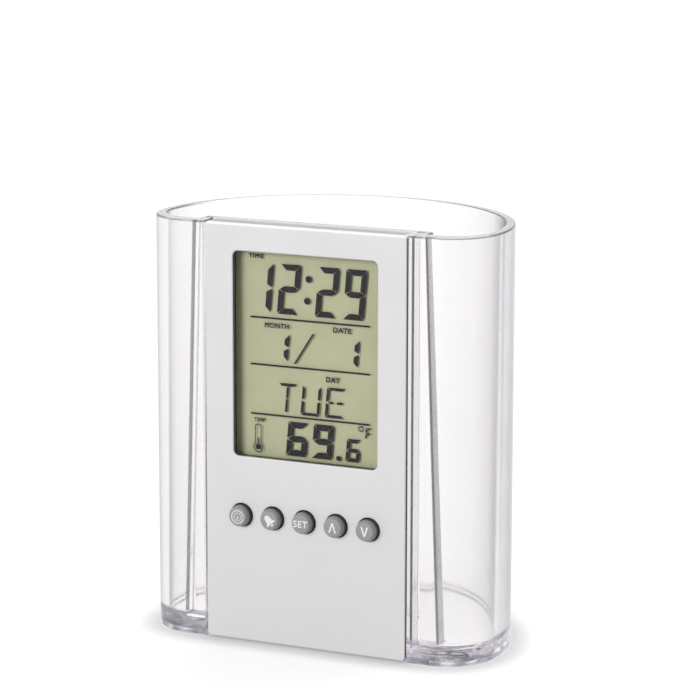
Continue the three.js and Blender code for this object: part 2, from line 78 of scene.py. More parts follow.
MM = 0.001
PANEL_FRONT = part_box("front_panel")[0].y
TO_FRAME = Matrix.Translation((0.0, PANEL_FRONT, 0.0)) @ Matrix.Scale(MM, 4)
HOLDER = "holder"
WHITE = (1.0, 1.0, 1.0, 1.0)
PAST = 1.0  # how far a cutter reaches past the face that it opens
CREASE = math.radians(38)  # edges that are sharper than this stay sharp
EASE_ANGLE = math.radians(50)  # edges of a CAD node that are sharper than this are eased
EASE_STEPS = 2  # facets of an eased edge
WELD = 0.001 * MM  # corners of a CAD node that lie closer than this are joined
PATTERN_MIDDLE = (0.3, 0.7)  # where most of a noise pattern lies

Triple = tuple[float, float, float]
Colour = tuple[float, float, float]
Span = tuple[float, float]
Point = tuple[float, float]
Outline = list[Point]
Ring = list[Vector]
Edges = list[bmesh.types.BMEdge]
Socket = bpy.types.NodeSocket


def linear(colour: Colour) -> tuple[float, float, float, float]:
    """Turns a screen colour, from 0 to 255, into Blender's linear colour."""
    parts = [value / 255 for value in colour]
    return (*(p / 12.92 if p <= 0.04045 else ((p + 0.055) / 1.055) ** 2.4 for p in parts), 1.0)


def shaded(colour: Colour, change: float) -> Colour:
    """Lightens or darkens a colour by a share of itself."""
    return tuple(min(255.0, max(0.0, part * (1 + change))) for part in colour)


def node_box(node: str) -> tuple[Vector, Vector]:
    """Reads a CAD node's lowest and highest corner, in millimetres as the meshes here are drawn."""
    back = TO_FRAME.inverted()
    return tuple(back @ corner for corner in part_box(node))


def node_middle(node: str) -> Point:
    """Reads the place of a CAD node's middle on the panel, as X and Z."""
    low, high = node_box(node)
    return (low.x + high.x) / 2, (low.z + high.z) / 2


def arc(centre: Point, radii: Point, start: float, end: float, steps: int, power: float = 2.0) -> Outline:
    """Lays points along an oval arc, with both ends.

    Args:
        centre: The oval's middle.
        radii: Its half width and half height.
        start: The first angle in degrees.
        end: The last angle in degrees.
        steps: How many steps lie between them.
        power: How square the oval is: 2 for an ellipse, more for fuller corners.

    Returns:
        The points.
    """
    points = []
    for step in range(steps + 1):
        angle = math.radians(start + (end - start) * step / steps)
        parts = (math.cos(angle), math.sin(angle))
        x, y = (math.copysign(abs(part) ** (2 / power), part) for part in parts)
        points.append((centre[0] + radii[0] * x, centre[1] + radii[1] * y))
    return points


def ring_outline(centre: Point, radius: float, steps: int) -> Outline:
    """Lays points round a circle."""
    return arc(centre, (radius, radius), 0, 360, steps)[:-1]


def rectangle(left: float, bottom: float, right: float, top: float) -> Outline:
    """Gives the corners of a rectangle."""
    return [(left, bottom), (right, bottom), (right, top), (left, top)]


def quarter_round(radius: float, steps: int = 4) -> Outline:
    """Gives a rounded edge as pairs of setback and depth, from the side to the face."""
    return [(radius - x, radius - y) for x, y in arc((0, 0), (radius, radius), 0, 90, steps)]


def upright(outline: Iterable[Point], depth: float) -> Ring:
    """Stands an outline in X and Z up at a depth."""
    return [Vector((x, depth, z)) for x, z in outline]


def rounded_rectangle(
    half: float, bottom: float, top: float, radius: float, depth: float, steps: int = 6
) -> Ring:
    """Draws an upright rectangle with round corners.

    Args:
        half: Half its width.
        bottom: The height of its lower edge.
        top: The height of its upper edge.
        radius: The corners' radius.
        depth: Its place along Y.
        steps: Facets in each corner.

    Returns:
        The ring of points.
    """
    right, low, high = half - radius, bottom + radius, top - radius
    corners = ((right, low, -90), (right, high, 0), (-right, high, 90), (-right, low, 180))
    arcs = [arc((x, z), (radius, radius), start, start + 90, steps) for x, z, start in corners]
    return upright((point for corner in arcs for point in corner), depth)


def circle(place: Point, radius: float, depth: float, steps: int = 48) -> Ring:
    """Draws an upright circle round a place on the panel."""
    return upright(ring_outline(place, radius, steps), depth)


class Cut(Enum):
    """What one solid does to another."""

    JOIN = "UNION"
    REMOVE = "DIFFERENCE"


class Blank:
    """A mesh under work, in millimetres from the middle of the panel's front face, at the table."""

    MERGE = 1e-4
    LETTER_STEPS = 6
    LETTER_SPACING = 1.12

    def __init__(self) -> None:
        """Starts with no geometry."""
        self.bm = bmesh.new()

    def loop(self, points: Iterable[Vector]) -> Edges:
        """Draws a closed outline through points in order, and hands back its edges."""
        verts = [self.bm.verts.new(point) for point in points]
        return [self.bm.edges.new(pair) for pair in zip(verts, verts[1:] + verts[:1])]

    def skin(self, rings: Sequence[Ring]) -> tuple[Edges, Edges]:
        """Spans a surface from each ring to the next.

        Args:
            rings: Rings with the same number of points.

        Returns:
            The edges of the first and of the last ring.
        """
        loops = [self.loop(ring) for ring in rings]
        for near, far in zip(loops, loops[1:]):
            bmesh.ops.bridge_loops(self.bm, edges=near + far)
        return loops[0], loops[-1]

    def cap(self, *loops: Edges) -> None:
        """Closes an outline, or the flat area between an outline and the holes in it.

        Args:
            *loops: The outline's edges, then those of each hole.
        """
        edges = [edge for loop in loops for edge in loop]
        if len(loops) == 1:
            bmesh.ops.edgeloop_fill(self.bm, edges=edges)
        else:
            bmesh.ops.triangle_fill(self.bm, edges=edges, use_beauty=True)

    def solid(self, rings: Sequence[Ring]) -> Blank:
        """Skins the rings and closes both ends.

        Args:
            rings: Rings with the same number of points.

        Returns:
            This blank.
        """
        for end in self.skin(rings):
            self.cap(end)
        return self.tidy()

    def box(self, low: Sequence[float], high: Sequence[float]) -> Blank:
        """Adds a box between two corners.

        Args:
            low: The lowest corner.
            high: The highest corner.

        Returns:
            This blank.
        """
        size = Vector(high) - Vector(low)
        place = Matrix.Translation((Vector(low) + Vector(high)) / 2) @ Matrix.Diagonal((*size, 1))
        bmesh.ops.create_cube(self.bm, size=1.0, matrix=place)
        return self

    def turn(self, profile: Sequence[Point], steps: int = 64) -> Blank:
        """Spins a profile about an axis along Y.

        Args:
            profile: Pairs of radius and depth, from one end of the axis to the other.
            steps: Facets round the axis.

        Returns:
            This blank.
        """
        verts = [self.bm.verts.new((radius, depth, 0)) for radius, depth in profile]
        edges = [self.bm.edges.new(pair) for pair in zip(verts, verts[1:])]
        bmesh.ops.spin(
            self.bm,
            geom=verts + edges,
            cent=(0, 0, 0),
            axis=(0, 1, 0),
            angle=math.tau,
            steps=steps,
            use_merge=True,
        )
        return self.tidy()

    def cylinder(self, radius: float, start: float, end: float, steps: int) -> Blank:
        """Adds a cylinder along Y, from one depth to another."""
        return self.turn([(0, start), (radius, start), (radius, end), (0, end)], steps)

    def sheet(self, outline: Iterable[Point], front: float, back: float) -> Blank:
        """Adds a flat plate from an outline in X and Z.

        Args:
            outline: The corners in order.
            front: The depth of its front face.
            back: The depth of its back face.

        Returns:
            This blank.
        """
        face = bmesh.ops.edgeloop_fill(self.bm, edges=self.loop(upright(outline, front)))["faces"]
        grown = bmesh.ops.extrude_face_region(self.bm, geom=face, use_keep_orig=True)["geom"]
        moved = [part for part in grown if isinstance(part, bmesh.types.BMVert)]
        bmesh.ops.translate(self.bm, verts=moved, vec=(0, back - front, 0))
        return self

    def word(self, text: str, low: Point, high: Point, front: float, back: float, weight: float) -> Blank:
        """Adds a printed word that fills a box on the panel.

        Args:
            text: What it says.
            low: The box's lower left corner.
            high: The box's upper right corner.
            front: The depth of the letters' front.
            back: The depth of their back.
            weight: How much bolder the letters are than the plain font.

        Returns:
            This blank.
        """
        curve = bpy.data.curves.new(text, "FONT")
        curve.body = text
        curve.bevel_depth = weight
        curve.bevel_resolution = 0
        curve.extrude = 0.5  # to both sides, so it is one unit thick before it is stretched
        curve.resolution_u = self.LETTER_STEPS
        curve.space_character = self.LETTER_SPACING
        item = bpy.data.objects.new(text, curve)
        bpy.context.scene.collection.objects.link(item)
        mesh = bpy.data.meshes.new_from_object(item.evaluated_get(bpy.context.evaluated_depsgraph_get()))
        bpy.data.objects.remove(item)
        bpy.data.curves.remove(curve)
        start, end = (Vector(map(pick, zip(*(v.co for v in mesh.vertices)))) for pick in (min, max))
        across, tall = (high[0] - low[0]) / (end.x - start.x), (high[1] - low[1]) / (end.y - start.y)
        stand = Matrix(((1, 0, 0, low[0]), (0, 0, -1, (front + back) / 2), (0, 1, 0, low[1]), (0, 0, 0, 1)))
        stretch = Matrix.Diagonal((across, tall, back - front, 1))
        mesh.transform(stand @ stretch @ Matrix.Translation((-start.x, -start.y, 0)))
        self.bm.from_mesh(mesh)
        bpy.data.meshes.remove(mesh)
        return self

    def shift(self, x: float, z: float) -> Blank:
        """Moves everything to a place on the panel."""
        bmesh.ops.translate(self.bm, verts=self.bm.verts, vec=(x, 0, z))
        return self

    def tidy(self) -> Blank:
        """Merges doubles and turns every face outwards.

        Returns:
            This blank.
        """
        bmesh.ops.remove_doubles(self.bm, verts=self.bm.verts, dist=self.MERGE)
        bmesh.ops.recalc_face_normals(self.bm, faces=self.bm.faces)
        return self

    def mesh(self, name: str) -> bpy.types.Mesh:
        """Hands the geometry over as a mesh and frees the blank.

        Args:
            name: The mesh's name.

        Returns:
            The mesh, still in millimetres.
        """
        made = bpy.data.meshes.new(name)
        self.bm.to_mesh(made)
        self.bm.free()
        return made

    def carve(self, cut: Cut, tools: Sequence[Blank]) -> Blank:
        """Joins other blanks to this one, or cuts them out of it.

        Args:
            cut: What the other blanks do.
            tools: The other blanks, which are used up.

        Returns:
            This blank.
        """
        objects = [bpy.data.objects.new("blank", b.tidy().mesh("blank")) for b in (self, *tools)]
        for item in objects:
            bpy.context.scene.collection.objects.link(item)
        for tool in objects[1:]:
            modifier = objects[0].modifiers.new("carve", "BOOLEAN")
            modifier.operation = cut.value
            modifier.solver = "EXACT"
            modifier.object = tool
        evaluated = objects[0].evaluated_get(bpy.context.evaluated_depsgraph_get())
        self.bm = bmesh.new()
        self.bm.from_mesh(evaluated.to_mesh())
        for item in objects:
            bpy.data.meshes.remove(item.data)
        return self


@dataclass(frozen=True)
class Pattern:
    """A cloudy pattern: a cloud's width in millimetres, its finer layers and its stretch by axis."""

    size: float
    detail: float = 2.0
    stretch: Triple = (1.0, 1.0, 1.0)


class By(Enum):
    """What a patch of colour goes by."""

    ACROSS = auto()
    BEHIND = auto()
    HEIGHT = auto()
    TILT = auto()
    SIDEWAYS = auto()
    UPRIGHT = auto()
    GRAZING = auto()
    AWAY = auto()
    BEYOND = auto()
    GLINT = auto()


Range = tuple[By, float, float]
Measures = dict[By, Socket]


@dataclass(frozen=True)
class Patch:
    """A part of a surface with a colour laid over it; in this script each patch is painted shade or a
    painted highlight, and the clear base's patch is partly the plastic's own tint.

    Each range tells a measure, the value where the colour starts and the value where it is full.
    """

    name: str
    colour: Colour
    ranges: tuple[Range, ...]


class Wiring:
    """A node tree under work."""

    def __init__(self, tree: bpy.types.NodeTree) -> None:
        """Takes over a tree."""
        self.tree = tree

    def feed(self, socket: Socket, value: object) -> None:
        """Links a socket to another, or sets its value.

        Args:
            socket: The input to fill.
            value: A socket, or a plain value.
        """
        if isinstance(value, Socket):
            self.tree.links.new(value, socket)
        else:
            socket.default_value = value

    def fill(self, node: bpy.types.Node, **inputs: object) -> bpy.types.Node:
        """Fills a node's inputs.

        Args:
            node: The node.
            **inputs: Values or sockets, by the input's name with _ for a space.

        Returns:
            The node.
        """
        for name, value in inputs.items():
            self.feed(node.inputs[name.replace("_", " ")], value)
        return node

    def node(self, kind: str, **inputs: object) -> bpy.types.Node:
        """Adds a node of a kind and fills its inputs."""
        return self.fill(self.tree.nodes.new(kind), **inputs)

    def math(self, operation: str, *values: object) -> Socket:
        """Does a sum on values or sockets.

        Args:
            operation: The sum, by Blender's name for it.
            *values: What goes in.

        Returns:
            The result.
        """
        made = self.node("ShaderNodeMath")
        made.operation = operation
        for index, value in enumerate(values):
            self.feed(made.inputs[index], value)
        return made.outputs[0]

    def product(self, *shares: Socket) -> Socket:
        """Multiplies shares with each other."""
        return reduce(partial(self.math, "MULTIPLY"), shares)

    def ramp(self, value: Socket, start: float, end: float, low: float = 0.0, high: float = 1.0) -> Socket:
        """Maps a value's range, whose end may lie before its start, onto another, and holds it there."""
        ends = {"From_Min": start, "From_Max": end, "To_Min": low, "To_Max": high}
        return self.node("ShaderNodeMapRange", Value=value, **ends).outputs[0]


class Surface(Wiring):
    """A material under work: one Principled shader and the nodes that feed it."""

    def __init__(self, name: str) -> None:
        """Makes a bare material.

        Args:
            name: The material's name.
        """
        self.material = bpy.data.materials.new(name)
        self.material.use_nodes = True
        super().__init__(self.material.node_tree)
        self.shader = self.tree.nodes["Principled BSDF"]
        self.place = self.node("ShaderNodeTexCoord").outputs["Object"]

    def set(self, **inputs: object) -> None:
        """Fills inputs of the Principled shader, by name with _ for a space."""
        self.fill(self.shader, **inputs)

    def noise(self, pattern: Pattern) -> Socket:
        """Makes a cloudy pattern.

        Args:
            pattern: How it looks.

        Returns:
            The pattern, from 0 to 1.
        """
        scale = [1.0 / (pattern.size * MM * part) for part in pattern.stretch]
        place = self.node("ShaderNodeMapping", Vector=self.place, Scale=scale).outputs[0]
        return self.node("ShaderNodeTexNoise", Vector=place, Scale=1.0, Detail=pattern.detail).outputs[0]

    def spread(self, pattern: Socket, low: float, high: float) -> Socket:
        """Maps the middle of a pattern onto a range."""
        return self.ramp(pattern, *PATTERN_MIDDLE, low, high)

    def blend(self, pattern: Socket, low: Colour, high: Colour) -> Socket:
        """Colours a pattern between two shades.

        Args:
            pattern: A pattern from 0 to 1.
            low: The colour where it is low, from 0 to 255.
            high: The colour where it is high.

        Returns:
            The colour.
        """
        ramp = self.node("ShaderNodeValToRGB", Fac=pattern)
        for end, position, colour in zip(ramp.color_ramp.elements, PATTERN_MIDDLE, (low, high)):
            end.position, end.color = position, linear(colour)
        return ramp.outputs[0]

    def toned(self, pattern: Pattern, colour: Colour, change: Span) -> Socket:
        """Varies a colour by a pattern, between two shades of it."""
        return self.blend(self.noise(pattern), *(shaded(colour, part) for part in change))

    def measures(self) -> Measures:
        """Measures where the surface lies, in millimetres, and which way it faces.

        Returns:
            The measures that every finish can go by.
        """
        place = self.node("ShaderNodeSeparateXYZ", Vector=self.place).outputs
        normal = self.node("ShaderNodeNewGeometry").outputs["Normal"]
        facing = self.node("ShaderNodeSeparateXYZ", Vector=normal).outputs
        behind = self.math("SUBTRACT", place["Y"], PANEL_FRONT)
        return {
            By.ACROSS: self.math("ABSOLUTE", self.math("DIVIDE", place["X"], MM)),
            By.BEHIND: self.math("DIVIDE", behind, MM),
            By.HEIGHT: self.math("DIVIDE", place["Z"], MM),
            By.TILT: facing["Z"],
            By.SIDEWAYS: self.math("ABSOLUTE", facing["X"]),
            By.UPRIGHT: self.math("SUBTRACT", 1.0, self.math("MULTIPLY", facing["Z"], facing["Z"])),
        }

    def patched(self, under: object, patches: Iterable[Patch], measures: Measures) -> Socket:
        """Lays patches over a colour.

        Args:
            under: The lowest colour, or its socket.
            patches: The patches, from the lowest up.
            measures: What they go by.

        Returns:
            The colour.
        """
        for patch in patches:
            mixed = self.node("ShaderNodeMix")
            mixed.label, mixed.data_type = patch.name, "RGBA"
            share = self.product(*(self.ramp(measures[by], *ends) for by, *ends in patch.ranges))
            for index, value in ((0, share), (6, under), (7, linear(patch.colour))):
                self.feed(mixed.inputs[index], value)
            under = mixed.outputs[2]
        return under

    def raise_by(self, pattern: Socket, depth: float) -> None:
        """Gives the surface the relief of a pattern, to a depth in millimetres."""
        bump = self.node("ShaderNodeBump", Height=pattern, Distance=depth * MM, Strength=1.0)
        self.set(Normal=bump.outputs[0])


@dataclass(frozen=True)
class Finish:
    """A finish that makes its material once and hands out the same one after that."""

    name: str

    def material(self) -> bpy.types.Material:
        """Finds the finish's material, or makes it.

        Returns:
            The material.
        """
        label = f"{self.name}_finish"
        if label not in bpy.data.materials:
            self.mix(Surface(label))
        return bpy.data.materials[label]

    def mix(self, surface: Surface) -> None:
        """Fills a bare material. Each kind of finish has its own way."""
        raise NotImplementedError


@dataclass(frozen=True)
class Opaque(Finish):
    """Plastic, paint, rubber or foam: uneven colour, uneven gloss and a fine grain."""

    colour: Colour
    roughness: Span
    tone: Pattern = Pattern(5.0, 4.0)
    change: Span = (-0.03, 0.03)
    grain: Pattern = Pattern(0.3, 3.0)
    relief: float = 0.004
    polish: Pattern | None = None
    metallic: float = 0.0
    gloss: float = 0.5
    patches: tuple[Patch, ...] = ()

    def mix(self, surface: Surface) -> None:
        """Mixes the tones, the gloss, the grain and the patches, which in this script are painted shade and
        painted highlights.

        Args:
            surface: The bare material.
        """
        grain = surface.noise(self.grain)
        polish = surface.noise(self.polish) if self.polish else grain
        colour = surface.toned(self.tone, self.colour, self.change)
        if self.patches:
            colour = surface.patched(colour, self.patches, surface.measures())
        surface.set(
            Base_Color=colour,
            Roughness=surface.spread(polish, *self.roughness),
            Metallic=self.metallic,
            Specular_IOR_Level=self.gloss,
        )
        surface.raise_by(grain, self.relief)


@dataclass(frozen=True)
class Metal(Opaque):
    """Bare metal with a drawn grain and handling marks."""

    roughness: Span = (0.20, 0.38)
    tone: Pattern = Pattern(2.5, 5.0)
    change: Span = (-0.06, 0.05)
    grain: Pattern = Pattern(0.12, 2.0, (1.0, 1.0, 12.0))
    relief: float = 0.0015
    metallic: float = 1.0


@dataclass(frozen=True)
class ClearPlastic(Finish):
    """Clear moulded plastic with a faint violet tint in its depth, a soft ripple from the mould and painted
    shade along its edges, rim, ears, groove and base.
    """

    index: float = 1.56
    face: Colour = (249, 248, 248)
    tint: Colour = (112, 107, 115)
    density: float = 3.5
    lamp_share: float = 0.96
    clock_half: float = 29.0
    clock_depth: float = 9.0
    edge_reach: float = 7.0
    ear_half: float = 28.95
    ear_slope: float = 0.03055
    ear_height: float = 100.0
    base_height: Span = (5.1, 4.3)
    haze: Span = (0.07, 0.01)
    smears: Pattern = Pattern(9.0)
    smear_change: Span = (0.7, 1.3)
    # a noise that leaves clear spots in the foot's painted shade
    glints: Pattern = Pattern(2.2, 1.0, (1.6, 1.6, 0.5))
    ripple: Pattern = Pattern(14.0, 1.0, (1.0, 1.0, 3.0))
    ripple_depth: float = 0.004
    base_ripple: Pattern = Pattern(6.0, 1.0, (1.6, 1.6, 0.5))
    base_ripple_depth: float = 0.26
    AWAY = (By.AWAY, 0.0, 1.0)
    WALL = (By.UPRIGHT, 0.0, 1.0)
    # where the ear walls carry painted shade
    EAR_SHADE = (
        (By.SIDEWAYS, 0.9, 0.98),
        (By.BEYOND, -0.3, -0.15),
        (By.BEYOND, 0.3, 0.15),
        (By.BEHIND, 9.0, 4.0),
    )
    # where the ear's nook carries painted shade
    NOOK_SHADE = ((By.BEYOND, -0.15, 0.0), (By.BEYOND, 0.9, 0.75), (By.BEHIND, 3.0, 3.3), (By.BEHIND, 4.7, 4.5))
    # where the groove carries painted shade
    GROOVE_SHADE = ((By.ACROSS, 26.22, 26.12), (By.BEHIND, 4.3, 4.45), (By.BEHIND, 5.0, 4.85))
    patches: tuple[Patch, ...] = (
        # painted shade: the cup's rounded sides darken where they are seen at a low angle
        Patch("edge", (178, 175, 180), (AWAY, (By.GRAZING, 0.15, 0.92))),
        # painted shade: a darker band where the sides are seen most edge-on
        Patch("rim", (106, 103, 111), (AWAY, (By.GRAZING, 0.62, 0.84))),
        # painted shade: a dark line along the rim's outer edge towards the front
        Patch("rim_line_painted_shade", (58, 56, 60), (WALL, (By.HEIGHT, 99.5, 99.62), (By.BEHIND, 30.0, 20.0))),
        # painted shade: the ear walls beside the clock are darkened
        Patch("ear", (170, 168, 172), EAR_SHADE),
        # painted shade: a dark stripe in the ear's nook
        Patch("nook", (92, 90, 95), NOOK_SHADE),
        # painted shade: a dark stripe along the groove
        Patch("groove", (84, 83, 86), GROOVE_SHADE),
        # partly the plastic's own violet tint, partly painted shade: the base is darker than the walls
        # above
        Patch("base", (234, 229, 239), (WALL, (By.HEIGHT, *base_height))),
        # painted shade: the foot darkens, broken by a noise so that clear spots read as glints
        Patch("foot", (142, 137, 147), (WALL, (By.HEIGHT, 3.0, 2.2), (By.GLINT, 0.34, 0.54))),
    )

    def measures(self, surface: Surface) -> Measures:
        """Measures the low angle of view, the way from the clock and the ears, and the glints.

        Args:
            surface: The material under work.

        Returns:
            Everything that the plastic's patches go by.
        """
        made = surface.measures()
        beside = surface.ramp(made[By.ACROSS], self.clock_half, self.clock_half + self.edge_reach)
        after = surface.ramp(made[By.BEHIND], self.clock_depth, self.clock_depth + self.edge_reach)
        slanted = surface.math("MULTIPLY_ADD", made[By.HEIGHT], self.ear_slope, made[By.ACROSS])
        ear_end = self.ear_half + self.ear_slope * self.ear_height
        return {
            **made,
            By.GRAZING: surface.node("ShaderNodeLayerWeight", Blend=0.5).outputs["Facing"],
            By.AWAY: surface.product(made[By.UPRIGHT], surface.math("MAXIMUM", beside, after)),
            By.BEYOND: surface.math("SUBTRACT", slanted, ear_end),
            By.GLINT: surface.noise(self.glints),
        }

    def mix(self, surface: Surface) -> None:
        """Mixes a clear body with its painted shade, a mould's ripple and the tint in its depth.

        Args:
            surface: The bare material.
        """
        measures = self.measures(surface)
        low_part = surface.ramp(measures[By.HEIGHT], *self.base_height)
        smears = surface.spread(surface.noise(self.smears), *self.smear_change)
        surface.set(
            Base_Color=surface.patched(linear(self.face), self.patches, measures),
            Roughness=surface.product(surface.ramp(low_part, 0.0, 1.0, *self.haze), smears),
            IOR=self.index,
            Transmission_Weight=1.0,
        )
        fine = self.ripple_depth / self.base_ripple_depth
        low_ripple = surface.product(low_part, surface.noise(self.base_ripple))
        relief = surface.math("MULTIPLY_ADD", surface.noise(self.ripple), fine, low_ripple)
        surface.raise_by(surface.product(relief, measures[By.UPRIGHT]), self.base_ripple_depth)
        depth = surface.node("ShaderNodeVolumeAbsorption", Color=linear(self.tint), Density=self.density)
        clear = surface.node("ShaderNodeBsdfTransparent", Color=(*[self.lamp_share] * 3, 1.0))
        shade = surface.node("ShaderNodeLightPath").outputs["Is Shadow Ray"]
        mixed = surface.node("ShaderNodeMixShader")
        for index, source in enumerate((shade, surface.shader.outputs[0], clear.outputs[0])):
            surface.feed(mixed.inputs[index], source)
        output = surface.tree.nodes["Material Output"]
        surface.fill(output, Volume=depth.outputs[0], Surface=mixed.outputs[0])


@dataclass(frozen=True)
class PaneGlass(Finish):
    """Thin display glass with a trace of polishing haze."""

    index: float = 1.15
    tint: Triple = (0.97, 0.98, 0.96)
    smears: Pattern = Pattern(3.0)
    roughness: Span = (0.0, 0.03)

    def mix(self, surface: Surface) -> None:
        """Mixes clear glass with uneven polish."""
        haze = surface.spread(surface.noise(self.smears), *self.roughness)
        surface.set(Base_Color=(*self.tint, 1.0), Roughness=haze, IOR=self.index, Transmission_Weight=1.0)


@dataclass(frozen=True)
class Striped(Finish):
    """A body with even stripes across X, as on a layered connector or a board with tracks."""

    colour: Colour
    stripe: Colour
    pitch: float
    roughness: Span
    waver: float = 0.4
    relief: float = 0.01

    def mix(self, surface: Surface) -> None:
        """Mixes two colours by a band pattern.

        Args:
            surface: The bare material.
        """
        scale = [1.0 / (self.pitch * MM)] * 3
        place = surface.node("ShaderNodeMapping", Vector=surface.place, Scale=scale).outputs[0]
        wave = surface.node("ShaderNodeTexWave", Vector=place, Scale=0.5, Distortion=self.waver, Detail=1.0)
        bands = wave.outputs["Fac"]
        surface.set(
            Base_Color=surface.blend(bands, self.colour, self.stripe),
            Roughness=surface.spread(bands, *self.roughness),
        )
        surface.raise_by(bands, self.relief)


class Palette:
    """Every finish of the object."""

    # WINDOW marks the window's inner wall for its painted shade; TOP_EDGE marks the top edge for its
    # painted highlight and painted shade
    WINDOW = ((By.ACROSS, 18.55, 18.5), (By.HEIGHT, 44.8, 44.85), (By.HEIGHT, 93.7, 93.65))
    TOP_EDGE = (By.HEIGHT, 98.8, 98.9)
    CLEAR = ClearPlastic("clear_moulded_plastic")
    SILVER = Opaque(
        "satin_silver_paint",
        (225, 225, 226),
        (0.48, 0.58),
        tone=Pattern(0.08, 1.0),
        change=(-0.015, 0.015),
        grain=Pattern(0.08, 1.0),
        relief=0.0006,
        polish=Pattern(14.0),
        metallic=0.12,
        patches=(
            # painted shade: the panel's sides turn dark near the front, where they lie in the shaded gap
            # beside the cup
            Patch("side_painted_shade", (70, 71, 73), ((By.ACROSS, 25.54, 25.6), (By.BEHIND, 1.6, 0.8))),
            # painted shade: the window's inner wall is darkened, as it stands in shade
            Patch("window_wall_painted_shade", (104, 105, 107), (*WINDOW, (By.BEHIND, 0.12, 0.3))),
            # painted shade: the window wall turns near black towards its back, for the shaded gap in front
            # of the gasket
            Patch("window_gap_painted_shade", (26, 26, 27), (*WINDOW, (By.BEHIND, 0.95, 1.15))),
            # painted highlight: the rounded top edge is painted white
            Patch("top_edge_painted_highlight", (255, 255, 255), (TOP_EDGE, (By.TILT, 0.1, 0.3))),
            # painted shade: the flat top face darkens towards the front edge
            Patch("top_face_painted_shade", (176, 177, 179), (TOP_EDGE, (By.TILT, 0.92, 0.98), (By.BEHIND, 11.0, 2.0))),
        ),
    )
    BUTTON = Opaque(
        "button_plastic",
        (158, 159, 160),
        (0.38, 0.48),
        tone=Pattern(0.3, 3.0),
        change=(-0.02, 0.02),
        relief=0.003,
        # painted shade: each button's side darkens towards the panel, where it sits in the hole's shade
        patches=(Patch("side_painted_shade", (66, 67, 69), ((By.BEHIND, -1.5, -0.8),)),),
    )
    COVER = Opaque(
        "grey_shell_plastic",
        (222, 223, 225),
        (0.37, 0.47),
        change=(-0.008, 0.008),
        relief=0.008,
        metallic=0.55,
    )
    GLASS = PaneGlass("display_glass")
    TRAY = Opaque("grey_tray_plastic", (178, 180, 183), (0.45, 0.55), relief=0.006)
    PRINT = Opaque("white_button_print", (246, 246, 246), (0.45, 0.55), Pattern(0.8, 4.0), (-0.015, 0.015))
    FOAM = Opaque("black_foam", (24, 24, 25), (0.9, 1.0), grain=Pattern(0.2, 3.0), relief=0.04)
    FRAME = Opaque("white_frame_plastic", (226, 226, 222), (0.55, 0.65))
    FILM = Opaque(
        "reflector_film",
        (196, 195, 161),
        (0.65, 0.75),
        tone=Pattern(7.0, 4.0),
        change=(-0.02, 0.02),
        grain=Pattern(0.08, 3.0),
    )
    INK = Opaque(
        "display_segment", (52, 50, 54), (0.65, 0.75), Pattern(2.0, 4.0), (-0.08, 0.08), gloss=0.05
    )
    CONNECTOR = Striped("connector_rubber_layers", (214, 143, 158), (60, 50, 54), 0.18, (0.8, 0.68))
    BOARD = Striped("board_laminate_tracks", (34, 92, 58), (62, 128, 84), 1.2, (0.45, 0.33))
    RESIN = Opaque(
        "black_resin", (22, 22, 23), (0.25, 0.35), change=(-0.1, 0.1), grain=Pattern(0.8, 3.0), relief=0.01
    )
    BEAD = Opaque("sensor_resin", (44, 39, 35), (0.3, 0.4), Pattern(0.6, 4.0), (-0.08, 0.08))
    STEEL = Metal("bright_metal", (202, 204, 206))
    BRASS = Metal("spring_brass", (204, 170, 96))
    RUBBER = Opaque("dome_rubber", (60, 61, 63), (0.8, 0.9), grain=Pattern(0.15, 3.0))
    RED_WIRE = Opaque("red_insulation", (176, 40, 32), (0.45, 0.55))
    BLACK_WIRE = Opaque("black_insulation", (28, 28, 30), (0.45, 0.55))


def dress(
    blank: Blank,
    name: str,
    finish: Finish,
    body: str = HOLDER,
    replaces: Sequence[str] = (),
) -> bpy.types.Object:
    """Turns a blank into a finished piece that rides on a body.

    Args:
        blank: The shape, in millimetres. It is used up.
        name: The piece's name.
        finish: Its finish.
        body: The CAD body it rides on.
        replaces: The CAD nodes it stands for.

    Returns:
        The piece.
    """
    mesh = blank.tidy().mesh(name)
    mesh.transform(TO_FRAME)
    mesh.shade_smooth()
    mesh.set_sharp_from_angle(angle=CREASE)
    mesh.materials.append(finish.material())
    piece = bpy.data.objects.new(name, mesh)
    bpy.context.scene.collection.objects.link(piece)
    even = piece.modifiers.new("even_shading", "WEIGHTED_NORMAL")
    even.keep_sharp = True
    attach(piece, body)
    if replaces:
        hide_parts(*replaces)
    LOG.info("%s: %d faces, rides on %s", name, len(mesh.polygons), body)
    return piece


def finish_node(node: str, finish: Finish, ease: float = 0.0) -> bpy.types.Object:
    """Gives a CAD node that stays its finish, and eases its edges.

    Args:
        node: The CAD node's name.
        finish: Its finish.
        ease: The edges' rounding in millimetres, or 0 for none.

    Returns:
        The node's object.
    """
    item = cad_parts[node]
    item.data.materials.clear()
    item.data.materials.append(finish.material())
    if ease:
        weld = item.modifiers.new("weld", "WELD")
        weld.merge_threshold = WELD
        bevel = item.modifiers.new("ease", "BEVEL")
        bevel.width = ease * MM
        bevel.segments = EASE_STEPS
        bevel.limit_method = "ANGLE"
        bevel.angle_limit = EASE_ANGLE
    LOG.info("%s: CAD node kept", node)
    return item


